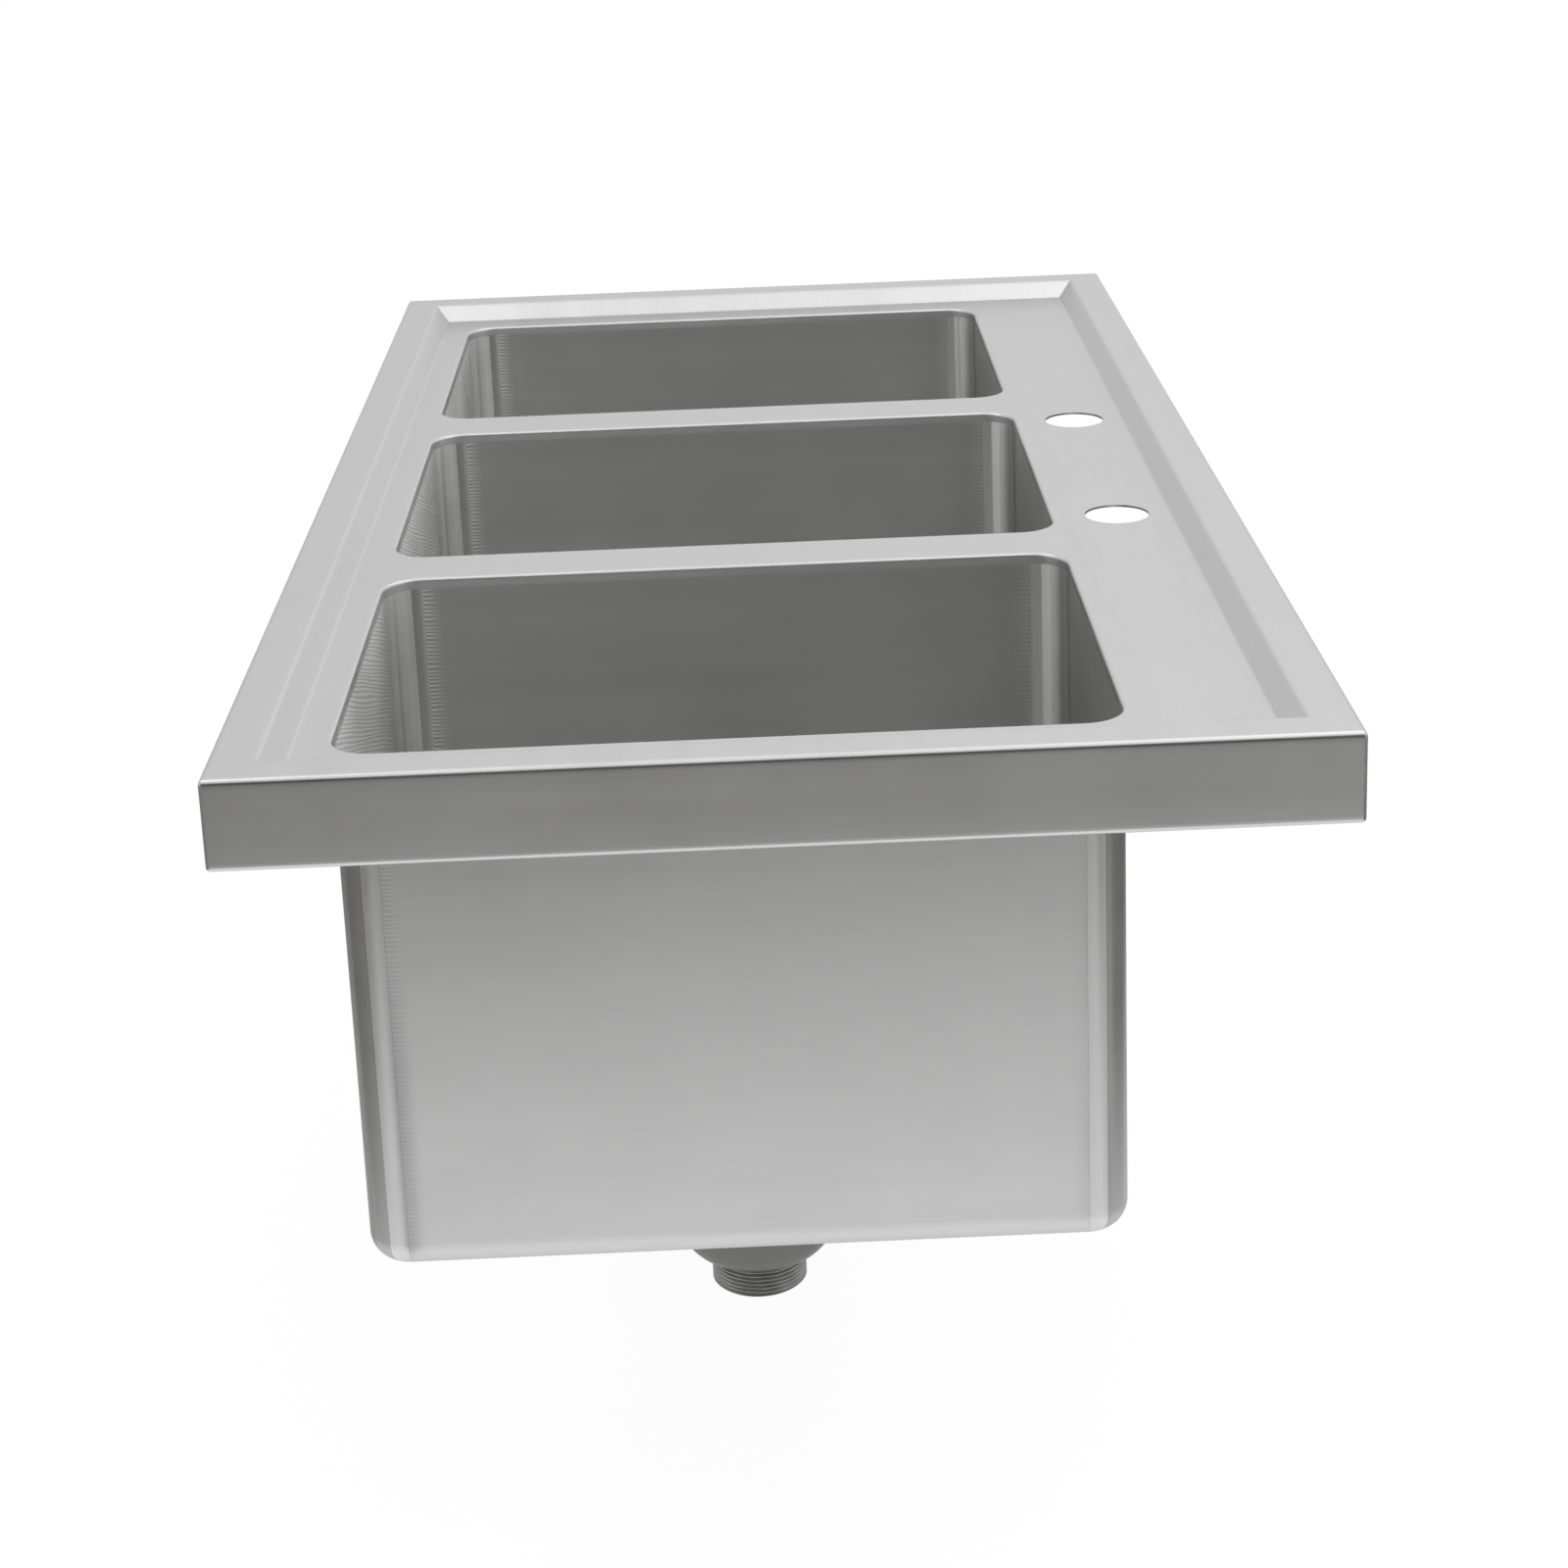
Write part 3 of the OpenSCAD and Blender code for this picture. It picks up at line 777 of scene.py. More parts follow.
def thread_tree():
    """Cuts a screw thread into the marked stretches of a turned piece, about the Z axis."""
    tree, given, made = group_tree(
        "Screw thread",
        "GeometryNodeTree",
        [
            ("Geometry", "NodeSocketGeometry", None),
            ("Pitch", "NodeSocketFloat", 0.002),
            ("Depth", "NodeSocketFloat", 0.001),
            ("Mark", "NodeSocketFloat", 1.0),
            ("Material", "NodeSocketMaterial", None),
        ],
        [("Geometry", "NodeSocketGeometry")],
    )
    spot = result(tree, "GeometryNodeInputPosition")
    parts = place(tree, "ShaderNodeSeparateXYZ", inputs={0: spot}).outputs
    angle = maths(tree, "DIVIDE", maths(tree, "ARCTAN2", parts["Y"], parts["X"]), math.tau)
    phase = maths(tree, "FRACT", maths(tree, "ADD", maths(tree, "DIVIDE", parts["Z"], given["Pitch"]), angle))
    tooth = maths(tree, "PINGPONG", maths(tree, "MULTIPLY", phase, 2.0), 1.0)
    flank = ranged(tree, tooth, (0.15, 0.0), (0.9, 1.0))
    read = result(tree, "GeometryNodeInputNamedAttribute", {"data_type": "FLOAT"}, {"Name": "thread"})
    apart = maths(tree, "ABSOLUTE", maths(tree, "SUBTRACT", read, given["Mark"]))
    near = maths(tree, "MAXIMUM", maths(tree, "SUBTRACT", 1.0, apart), 0.0)
    cut = product(tree, near, flank, given["Depth"])
    outwards = combined(tree, parts["X"], parts["Y"])
    spoke = result(tree, "ShaderNodeVectorMath", {"operation": "NORMALIZE"}, {0: outwards})
    inwards = scaled(tree, spoke, maths(tree, "MULTIPLY", cut, -1.0))
    moved = result(tree, "GeometryNodeSetPosition", inputs={"Geometry": given["Geometry"], "Offset": inwards})
    end_tree(tree, moved, given, made)
    return tree


def perforation_tree():
    """Drills rings of holes through the wall and the floor of a cup that stands on the Z axis."""
    tree, given, made = group_tree(
        "Perforation",
        "GeometryNodeTree",
        [
            ("Geometry", "NodeSocketGeometry", None),
            ("Hole radius", "NodeSocketFloat", 0.0025),
            ("Drill length", "NodeSocketFloat", 0.03),
            ("Wall holes", "NodeSocketInt", 16),
            ("Wall radius", "NodeSocketFloat", 0.03),
            ("Top ring", "NodeSocketFloat", -0.028),
            ("Ring step", "NodeSocketFloat", 0.01),
            ("Floor holes", "NodeSocketInt", 10),
            ("Floor ring", "NodeSocketFloat", 0.017),
            ("Floor height", "NodeSocketFloat", -0.06),
            ("Material", "NodeSocketMaterial", None),
        ],
        [("Geometry", "NodeSocketGeometry")],
    )
    size = {"Vertices": 20, "Radius": given["Hole radius"], "Depth": given["Drill length"]}
    drill = result(tree, "GeometryNodeMeshCylinder", inputs=size)
    drills = place(tree, "GeometryNodeJoinGeometry")

    def drill_ring(count, radius, height, turn, aim):
        circle = result(tree, "GeometryNodeMeshCircle", inputs={"Vertices": count, "Radius": radius})
        lift, spin = combined(tree, z=height), combined(tree, z=turn)
        pose = {"Geometry": circle, "Translation": lift, "Rotation": spin}
        level = result(tree, "GeometryNodeTransform", inputs=pose)
        row = {"Points": level, "Instance": drill, "Rotation": aim}
        tree.links.new(result(tree, "GeometryNodeInstanceOnPoints", inputs=row), drills.inputs[0])

    spot = result(tree, "GeometryNodeInputPosition")
    outwards = result(tree, "ShaderNodeVectorMath", {"operation": "MULTIPLY"}, {0: spot, 1: (1, 1, 0)})
    aim = result(tree, "FunctionNodeAlignRotationToVector", {"axis": "Z"}, {"Vector": outwards})
    half_step = maths(tree, "DIVIDE", math.pi, given["Wall holes"])
    for ring in range(WALL_RINGS):
        height = maths(tree, "SUBTRACT", given["Top ring"], maths(tree, "MULTIPLY", given["Ring step"], ring))
        turn = maths(tree, "MULTIPLY", half_step, ring)
        drill_ring(given["Wall holes"], given["Wall radius"], height, turn, aim)
    drill_ring(given["Floor holes"], given["Floor ring"], given["Floor height"], 0.0, (0, 0, 0))
    solids = result(tree, "GeometryNodeRealizeInstances", inputs={0: drills.outputs[0]})
    drilled = place(
        tree,
        "GeometryNodeMeshBoolean",
        {"operation": "DIFFERENCE", "solver": "EXACT"},
        {"Mesh 1": given["Geometry"], "Mesh 2": solids},
    )
    end_tree(tree, drilled.outputs[0], given, made)
    return tree


def run_tree(mesh, tree, values):
    """Runs a geometry tree on a mesh with the named inputs and gives back a plain mesh."""
    holder = hold(mesh)
    modifier = holder.modifiers.new(tree.name, "NODES")
    modifier.node_group = tree
    for item in tree.interface.items_tree:
        if item.in_out == "INPUT" and item.name in values:
            modifier[item.identifier] = values[item.name]
    return settle(holder)


class SINK_OT_fold_deck(bpy.types.Operator):
    """Fold the deck from one sheet, with its rim, apron, bowl openings and faucet holes"""

    bl_idname = "sink.fold_deck"
    bl_label = "Fold the deck"

    # Painted shade along the turned-down edge of an opening, darker towards the back where it lies in shade
    FLANGE_PAINTED_SHADE = ((-19, 0.6), (0, 1.0), (19, 1.0))
    RIM_STOPS = (10, 6)
    LIP_STOPS = (4, 6)
    HOLE_POINTS = 64

    def execute(self, context):
        sizes = context.scene.sink_deck
        colours = context.scene.sink_finishes
        top = steel("Deck steel", colours.deck, roughness=0.34, anisotropy=0.5, weld_and_painted_light=self.FLANGE_PAINTED_SHADE)
        shape = Shape()
        plate_edge = self.rim(shape, sizes)
        holes = [self.bowl_lip(shape, sizes, context.scene.sink_bowl, bowl_centre(side)) for side in SIDES]
        holes += [self.faucet_hole(shape, sizes, hand) for hand in (-1, 1)]
        shape.plate(plate_edge, holes)
        mesh = thicken(shape.mesh("deck_sheet", [top]))
        add_piece("deck_sheet", mesh, "deck", FIXED_BODY)
        return {"FINISHED"}

    def rim(self, shape, sizes):
        """Sweeps the rim, its slope and the apron round the deck, and returns the edge of the flat plate."""
        low = sizes.height - sizes.drop
        foot = -sizes.rim_flat - sizes.slope_run
        corners = [
            (foot - sizes.bend_radius, low, 0),
            (foot, low, sizes.bend_radius - SHEET),
            (-sizes.rim_flat, sizes.height, sizes.bend_radius),
            (0, sizes.height, sizes.fold_radius),
            (0, 0, sizes.fold_radius),
            (-sizes.return_width, 0, 0),
        ]
        path = with_margins(rounded_path(corners))
        folded = [p for p in path if p.y > MERGE or p.x > -sizes.fold_radius - MERGE]
        loops = []
        for out, height in folded:
            half_x = sizes.length / 2 + out
            half_y = sizes.width / 2 + out
            radius = max(sizes.corner_radius + out, sizes.mitre_radius)
            stops_x = side_stops(half_x - radius, sizes.length / 2 - sizes.notch, self.RIM_STOPS[0])
            stops_y = side_stops(half_y - radius, sizes.width / 2 - sizes.notch, self.RIM_STOPS[1])
            loop = rectangle_loop(half_x, half_y, radius, stops_x, stops_y)
            loops.append(shape.row([(x, y, height) for x, y in loop]))
        for inner, outer in zip(loops, loops[1:]):
            shape.bridge(inner, outer, closed=True)
        self.returns(shape, sizes, loops[-1], (len(stops_y), len(stops_x)))
        return loops[0]

    def returns(self, shape, sizes, edge, counts):
        """Folds the four lower edges in, each between the notches at its two corners."""
        start = 0
        width = sizes.return_width - sizes.fold_radius
        for side, inwards in enumerate(((-1, 0), (0, -1), (1, 0), (0, 1))):
            count = counts[side % 2]
            outer = edge[start:start + count]
            start += count + CORNER_STEPS + 1
            points = [shape.points[n] for n in outer]
            inner = shape.row([(x + inwards[0] * width, y + inwards[1] * width, 0) for x, y, z in points])
            shape.bridge(outer, inner)

    def bowl_lip(self, shape, sizes, bowl, centre):
        """Rolls the edge of one bowl opening down, and returns its outline on the plate."""
        low = sizes.height - sizes.drop
        cove = (bowl.width - bowl.wrap_width) / 2
        corners = [
            (sizes.lip_radius + FLAT_MARGIN, low, 0),
            (0, low, sizes.lip_radius),
            (0, low - sizes.lip_depth, 0),
        ]
        loops = []
        for out, height in rounded_path(corners):
            half_x = bowl.length / 2 + out
            half_y = bowl.width / 2 + out
            stops_x = side_stops(bowl.length / 2 - cove, bowl.length, self.LIP_STOPS[0])
            stops_y = side_stops(bowl.width / 2 - cove, bowl.width, self.LIP_STOPS[1])
            loop = rectangle_loop(half_x, half_y, cove + out, stops_x, stops_y)
            points = [(centre.x + x, centre.y + y, height) for x, y in loop]
            flange = 1.0 if height < low - 0.9 * sizes.lip_radius else 0.0
            # The seam mark on the flange rows places the painted shade, which darkens the flange towards the
            # back
            seam = [-flange * cove * min(max((y - half_y) / cove + 1, 0.0), 1.0) for x, y in loop]
            loops.append(shape.row(points, ground=flange, seam=seam))
        for outer, inner in zip(loops, loops[1:]):
            shape.bridge(inner, outer, closed=True)
        return loops[0]

    def faucet_hole(self, shape, sizes, hand):
        """The outline of one faucet hole."""
        centre = (hand * sizes.faucet_centres / 2, sizes.faucet_back)
        low = sizes.height - sizes.drop
        loop = circle_loop(sizes.faucet_radius, self.HOLE_POINTS)
        return shape.row([(centre[0] + x, centre[1] + y, low) for x, y in loop])


class SINK_OT_weld_bowls(bpy.types.Operator):
    """Weld each bowl from a bent strip and two coved panels"""

    bl_idname = "sink.weld_bowls"
    bl_label = "Weld the bowls"

    # Tones across the coved edges, from the flat of a back panel to the flat of a front panel: the weld
    # lines, with painted highlight bands where a cove would catch the light and painted shade where it would
    # not
    INSIDE_PAINTED_LIGHT = (
        # Inside: painted highlight bands on the coves and a lighter painted front panel, with painted shade
        # towards the back panel
        (-30, 0.85), (-20, 0.85), (-17, 1.15), (-12.2, 1.2), (-11.6, 1.65), (-7.4, 1.65), (-6.8, 1.25),
        (-2, 1.25), (0, 1.0), (2.5, 0.92), (6.2, 0.88), (6.5, 1.6), (10.5, 1.55), (12, 1.4), (30, 1.42),
    )
    OUTSIDE_WELD_AND_PAINTED_SHADE = (
        # Outside: a dark weld line near each edge, with painted shade beside it on one side and a painted
        # highlight on the other
        (-30, 1.0), (-20, 0.8), (-9.6, 0.78), (-9, 0.6), (-8.6, 1.1), (0, 1.0),
        (8.6, 1.1), (9, 0.6), (9.6, 0.78), (20, 0.8), (30, 1.0),
    )

    def execute(self, context):
        bowl = context.scene.sink_bowl
        colours = context.scene.sink_finishes
        inside = steel(
            "Bowl steel inside",
            colours.bowl,
            roughness=0.42,
            anisotropy=0.75,
            ripple=0.5,
            shade=0.4,
            lift=0.2,
            weld_and_painted_light=self.INSIDE_PAINTED_LIGHT,
        )
        outside = steel(
            "Bowl steel outside",
            colours.bowl_outside,
            roughness=0.34,
            anisotropy=0.6,
            ripple=0.12,
            shade=0.03,
            weld_and_painted_light=self.OUTSIDE_WELD_AND_PAINTED_SHADE,
        )
        for side in SIDES:
            centre = bowl_centre(side)
            self.wrap(bowl, side, centre, [inside, outside])
            self.panel(bowl, side, centre, "front", [inside, outside])
            self.panel(bowl, side, centre, "back", [inside, outside])
        return {"FINISHED"}

    def wrap(self, bowl, side, centre, materials):
        """End wall, floor and end wall in one strip, with the pressed recess for the drain."""
        shape = Shape()
        half = bowl.length / 2
        bend = bowl.floor_bend
        reach = bowl.wrap_width / 2
        band = bowl.ground_band
        stops = [-reach, -reach + band / 3, -reach + band, 0, reach - band, reach - band / 3, reach]
        ground = [1.0, 0.6, 0.0, 0.0, 0.0, 0.3, 0.45]
        corners = [(-half, bowl.wall, 0), (-half, 0, bend), (half, 0, bend), (half, bowl.wall, 0)]
        path = with_margins(rounded_path(corners, COVE_STEPS))
        rows = []
        for x, z in path:
            points = [(centre.x + x, centre.y + y, centre.z + z) for y in stops]
            rows.append(shape.row(points, ground=[mark * min(z / bend, 1.0) for mark in ground]))
        split = next(k for k, point in enumerate(path) if point.x > 0)
        for number, (first, second) in enumerate(zip(rows, rows[1:])):
            if number != split - 1:
                shape.bridge(first, second)
        outer = [rows[split - 1][0], *rows[split], *reversed(rows[split - 1][1:])]
        shape.plate(outer, [self.recess(shape, bowl, Vector((centre.x, DRAIN_Y, centre.z)))])
        mesh = thicken(shape.mesh(f"{side}_bowl_strip", materials))
        add_piece(f"{side}_bowl_strip", mesh, f"{side}_bowl_wrap", FIXED_BODY, along=(0, 1, 0))

    def grinding(self, share, hand):
        """How much a panel is ground, from its weld to the strip (0) to its flat (1)."""
        if hand > 0:
            return max(0.0, 1.0 - abs(share - 0.32) / 0.12)
        return 1.0 if share > 0.6 else max(0.0, 1.0 - share / 0.1)

    def recess(self, shape, bowl, axis):
        """Presses the recess round the drain opening, and returns its outline on the floor."""
        corners = [
            (bowl.recess_radius + 2 * bowl.press_radius, 0, 0),
            (bowl.recess_radius, 0, bowl.press_radius),
            (bowl.seat_radius, -bowl.recess_drop, bowl.press_radius),
            (bowl.hole_radius, -bowl.recess_drop, 0),
        ]
        rings = []
        for radius, height in with_margins(rounded_path(corners)):
            points = [(axis.x + x, axis.y + y, axis.z + height) for x, y in circle_loop(radius)]
            rings.append(shape.row(points))
        for outer, inner in zip(rings, rings[1:]):
            shape.bridge(inner, outer, closed=True)
        return rings[0]

    def panel(self, bowl, side, centre, end, materials):
        """A flat side bent in at its foot, with the same section swept round both coved corners."""
        shape = Shape()
        cove = (bowl.width - bowl.wrap_width) / 2
        hand = -1 if end == "front" else 1
        columns = []
        for way in (-1, 1):
            hub = Vector((way * (bowl.length / 2 - cove), hand * (bowl.width / 2 - cove)))
            for k in range(COVE_STEPS + 1):
                share = k / COVE_STEPS if way < 0 else 1 - k / COVE_STEPS
                angle = share * math.pi / 2
                spoke = Vector((way * math.cos(angle), hand * math.sin(angle)))
                columns.append((hub + spoke * cove, -spoke, self.grinding(share, hand), -hand * angle * cove))
            if way < 0:
                straight = bowl.length / 2 - cove
                for x in (-straight + bowl.ground_band, 0, straight - bowl.ground_band):
                    spot = Vector((x, hand * bowl.width / 2))
                    columns.append((spot, Vector((0, -hand)), self.grinding(1, hand), -hand * angle * cove))
        section = rounded_path([(0, bowl.wall, 0), (0, 0, bowl.floor_bend), (cove, 0, 0)], COVE_STEPS)
        rows = []
        for inwards, height in with_margins(section):
            spots = [spot + inner * inwards for spot, inner, ground, seam in columns]
            points = [(centre.x + p.x, centre.y + p.y, centre.z + height) for p in spots]
            ground = [column[2] * min(height / bowl.floor_bend, 1.0) for column in columns]
            seam = [column[3] for column in columns]
            rows.append(shape.row(points, ground=ground, seam=seam))
        for upper, lower in zip(rows, rows[1:]):
            if hand < 0:
                shape.bridge(lower, upper)
            else:
                shape.bridge(lower[::-1], upper[::-1])
        name = f"{side}_bowl_{end}"
        mesh = thicken(shape.mesh(name, materials))
        add_piece(name, mesh, f"{side}_bowl_{end}_panel", FIXED_BODY)


class SINK_OT_turn_drains(bpy.types.Operator):
    """Turn the three drain bodies and cut their threads"""

    bl_idname = "sink.turn_drains"
    bl_label = "Turn the drains"

    NECK = 3 * MM
    CHAMFER = 0.8 * MM
    BORE_EDGE = 0.5 * MM
    FLANGE_EDGE = 0.7 * MM
    WALL_ROWS = 4
    CUP_ROWS = 130
    NIPPLE_ROWS = 64
    RUN_OUT_ROWS = 6

    def execute(self, context):
        drain = context.scene.sink_drain
        # The dark drain colour stands in for painted shade under the bowls
        finish = steel("Drain steel", context.scene.sink_finishes.drain, roughness=0.36, anisotropy=0.4)
        outline, threads = self.outline(drain)
        mesh = turned("drain_body", outline, [finish], threads=threads)
        tree = thread_tree()
        cuts = ((1.0, drain.thread_pitch, drain.thread_depth), (-1.0, drain.cup_pitch, drain.cup_thread))
        for mark, pitch, depth in cuts:
            mesh = run_tree(mesh, tree, {"Pitch": pitch, "Depth": depth, "Mark": mark, "Material": finish})
        add_at_drains(mesh, "drain_body")
        return {"FINISHED"}

    def outline(self, drain):
        """The closed section of a drain, and which thread each of its points carries."""
        wall = drain.wall
        under = -drain.flange_depth - wall
        hub = Vector((drain.cup_radius - drain.dome_radius, drain.dome_radius - drain.cup_depth))
        inner = self.dome(hub, drain.dome_radius - wall, drain.outlet_radius)
        outer = self.dome(hub, drain.dome_radius, drain.nipple_radius)
        neck = under - self.NECK
        end = -drain.end_depth
        tip_low = end + self.CHAMFER
        bore = [(drain.outlet_radius, end + self.BORE_EDGE), (drain.outlet_radius + self.BORE_EDGE, end)]
        tip = [(drain.nipple_radius - self.CHAMFER, end), (drain.nipple_radius, tip_low)]
        rim = rounded_path(
            [
                (drain.cup_radius, neck, 0),
                (drain.cup_radius, under, self.CHAMFER),
                (drain.flange_radius, under, self.FLANGE_EDGE),
                (drain.flange_radius, -drain.flange_depth, self.FLANGE_EDGE),
                (drain.cup_radius - wall, -drain.flange_depth, wall),
                (drain.cup_radius - wall, neck, 0),
            ]
        )
        sections = [
            (list(reversed(outer)), 0.0),
            (self.stretch(drain.cup_radius, hub.y, -drain.cup_thread_end, self.WALL_ROWS), 0.0),
            (self.stretch(drain.cup_radius, -drain.cup_thread_end, neck, self.CUP_ROWS), -1.0),
            (rim, 0.0),
            (inner, 0.0),
            (bore, 0.0),
            (tip, 0.0),
            (self.stretch(drain.nipple_radius, tip_low, outer[-1][1], self.NIPPLE_ROWS), 1.0),
        ]
        outline, threads = [], []
        for points, thread in sections:
            for number, point in enumerate(points):
                if outline and (Vector(point) - Vector(outline[-1])).length < MERGE:
                    continue
                share = min(number, len(points) - 1 - number) / self.RUN_OUT_ROWS
                outline.append(tuple(point))
                threads.append(thread * min(share, 1.0))
        return outline, threads

    def stretch(self, radius, low, high, count):
        """Evenly spaced points up a straight wall."""
        return [(radius, low + (high - low) * k / count) for k in range(count + 1)]

    def dome(self, hub, radius, cut):
        """Points from the cup wall round the dome, down to where it is cut off at a radius."""
        last = math.acos((cut - hub.x) / radius)
        angles = [last * k / COVE_STEPS for k in range(COVE_STEPS + 1)]
        return [(hub.x + radius * math.cos(a), hub.y - radius * math.sin(a)) for a in angles]


class SINK_OT_lay_seals(bpy.types.Operator):
    """Lay the gaskets, washers and friction rings"""

    bl_idname = "sink.lay_seals"
    bl_label = "Lay the seals"

    def execute(self, context):
        colours = context.scene.sink_finishes
        rubber = matt("Seal rubber", colours.rubber, roughness=0.65, speckle=0.3, grain_size=1.5 * MM)
        fibre = matt("Pressed fibre", colours.fibre, roughness=0.8, speckle=0.35, grain_size=0.8 * MM)
        rows = (
            ("flange_gasket", "rubber", rubber, 0.5 * MM),
            ("rubber_washer", "rubber", rubber, 0.9 * MM),
            ("friction_ring", "fibre", fibre, 0.2 * MM),
        )
        for node, slot, material, edge in rows:
            low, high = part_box(f"centre_{node}")
            outer = (high.x - low.x) / 2
            inner = self.bore(context, node)
            corners = [
                (inner, low.z - FLOOR_Z, edge),
                (outer, low.z - FLOOR_Z, edge),
                (outer, high.z - FLOOR_Z, edge),
                (inner, high.z - FLOOR_Z, edge),
            ]
            mesh = turned(node, closed_outline(corners, 4), [material])
            add_at_drains(mesh, node)
        return {"FINISHED"}

    def bore(self, context, node):
        """The inner radius of a seal."""
        if node == "flange_gasket":
            return context.scene.sink_bowl.hole_radius
        return context.scene.sink_drain.cup_radius + SLIDE_FIT


class SINK_OT_cast_locknuts(bpy.types.Operator):
    """Cast the locknuts with their lugs"""

    bl_idname = "sink.cast_locknuts"
    bl_label = "Cast the locknuts"

    LUGS = 8
    ARC_STEPS = 10

    def execute(self, context):
        drain = context.scene.sink_drain
        colour = context.scene.sink_finishes.nut
        metal = matt("Nut metal", colour, roughness=0.42, speckle=0.12, grain_size=1.2 * MM, metallic=1.0)
        shape = Shape()
        bore = drain.cup_radius + SLIDE_FIT
        outline = self.outline(drain.washer_radius, (NUT_HIGH.x - NUT_LOW.x) / 2, drain.lug_width)
        inner_outline = [Vector(p).normalized() * bore for p in outline]
        rows = []
        for height in (NUT_LOW.z - FLOOR_Z, NUT_HIGH.z - FLOOR_Z):
            rows.append(shape.row([(x, y, height) for x, y in outline]))
            rows.append(shape.row([(x, y, height) for x, y in inner_outline]))
        low_out, low_in, high_out, high_in = rows
        shape.bridge(low_out, low_in, closed=True)
        shape.bridge(high_in, high_out, closed=True)
        shape.bridge(high_out, low_out, closed=True)
        shape.bridge(low_in, high_in, closed=True)
        holder = hold(shape.mesh("locknut", [metal]))
        bevel = holder.modifiers.new("Cast edges", "BEVEL")
        bevel.width = 0.8 * MM
        bevel.segments = 3
        bevel.limit_method = "ANGLE"
        bevel.angle_limit = math.radians(35)
        add_at_drains(settle(holder), "locknut")
        return {"FINISHED"}

    def outline(self, radius, lug_radius, lug_width):
        """Points round the nut, out and back at each lug."""
        half = math.asin(lug_width / 2 / radius)
        points = []
        for lug in range(self.LUGS):
            middle = math.tau * lug / self.LUGS
            across = Vector((-math.sin(middle), math.cos(middle)))
            tip = Vector((math.cos(middle), math.sin(middle))) * lug_radius
            points += [tip - across * lug_width / 2, tip + across * lug_width / 2]
            sweep = math.tau / self.LUGS - 2 * half
            for k in range(self.ARC_STEPS + 1):
                angle = middle + half + sweep * k / self.ARC_STEPS
                points.append(Vector((math.cos(angle), math.sin(angle))) * radius)
        return points


class SINK_OT_press_baskets(bpy.types.Operator):
    """Press the strainer baskets, drill them and fit their posts"""

    bl_idname = "sink.press_baskets"
    bl_label = "Press the baskets"

    # The rolled mouth, in degrees round its section
    BEAD_START, BEAD_SWEEP, BEAD_STEPS = 215, 290, 16

    def execute(self, context):
        basket = context.scene.sink_basket
        colour = context.scene.sink_finishes.basket
        polished = steel("Basket steel", colour, roughness=0.16, anisotropy=0.2)
        mesh = turned("strainer_basket", self.cup(basket), [polished])
        values = {
            "Hole radius": basket.hole_radius,
            "Wall radius": (basket.top_radius + basket.floor_radius) / 2,
            "Top ring": -basket.ring_top,
            "Ring step": basket.ring_step,
            "Floor ring": basket.floor_ring,
            "Floor height": -basket.floor_depth,
            "Material": polished,
        }
        mesh = run_tree(mesh, perforation_tree(), values)
        add_at_drains(mesh, "strainer_basket", moving=True)
        post = turned("basket_post", self.post(basket), [polished], closed=False)
        add_at_drains(post, "basket_post", moving=True)
        return {"FINISHED"}

    def cup(self, basket):
        """The closed section of a basket, with a rolled mouth."""
        bore = basket.post_radius + PUSH_FIT
        top, floor, wall = -basket.top_depth, -basket.floor_depth, basket.wall
        roll = basket.lip_radius
        centre = Vector((basket.top_radius + roll / 2, top))
        bead = []
        for k in range(self.BEAD_STEPS + 1):
            angle = math.radians(self.BEAD_START - self.BEAD_SWEEP * k / self.BEAD_STEPS)
            bead.append(centre + Vector((math.cos(angle), math.sin(angle))) * roll)
        inside = rounded_path(
            [
                (basket.top_radius - wall, top - roll, 0),
                (basket.floor_radius - wall, floor + wall, 3 * MM),
                (bore, floor + wall, 0),
            ]
        )
        outside = rounded_path(
            [
                (bore, floor, 0),
                (basket.floor_radius, floor, 3.6 * MM),
                (basket.top_radius, top - roll * 1.2, 0),
            ]
        )
        return [*inside, *outside, *reversed(bead)]

    def post(self, basket):
        """The section of a post, from the axis under its button to the axis at the crown of its knob."""
        button = -basket.stopper_under - basket.button
        knob_low, knob_top = -basket.knob_under, -basket.knob_top
        corners = [
            (0, button, 0),
            (basket.hub_radius, button, 0.4 * MM),
            (basket.hub_radius, -basket.stopper_under, 0),
            (basket.post_radius, -basket.stopper_under, 0),
            (basket.post_radius, -basket.stopper_top, 0),
            (basket.hub_radius, -basket.stopper_top, 0.3 * MM),
            (basket.hub_radius, -basket.floor_depth, 0),
            (basket.post_radius, -basket.floor_depth, 0),
            (basket.post_radius, knob_low, 0.8 * MM),
            (basket.knob_radius, knob_low, 1 * MM),
            (basket.knob_radius, knob_top - 3 * MM, 1 * MM),
            (basket.knob_radius * 0.6, knob_top - 0.8 * MM, 3 * MM),
            (0, knob_top, 0),
        ]
        return with_margins(rounded_path(corners))


class SINK_OT_mould_stoppers(bpy.types.Operator):
    """Mould the rubber stoppers under the baskets"""

    bl_idname = "sink.mould_stoppers"
    bl_label = "Mould the stoppers"

    def execute(self, context):
        basket = context.scene.sink_basket
        colour = context.scene.sink_finishes.rubber
        rubber = matt("Stopper rubber", colour, roughness=0.6, speckle=0.25, grain_size=1.2 * MM)
        bore = basket.post_radius + PUSH_FIT
        top, under = -basket.stopper_top, -basket.stopper_under
        middle = (top + under) / 2 + SHEET
        corners = [
            (bore, under, 0.2 * MM),
            (basket.stopper_foot, under, 1 * MM),
            (basket.stopper_radius - 0.5 * MM, under + 3 * MM, 0.8 * MM),
            (basket.stopper_radius, middle, 0.8 * MM),
            (basket.stopper_radius - 5 * MM, top, 1.5 * MM),
            (bore, top, 0.2 * MM),
        ]
        mesh = turned("rubber_stopper", closed_outline(corners), [rubber])
        add_at_drains(mesh, "rubber_stopper", moving=True)
        return {"FINISHED"}


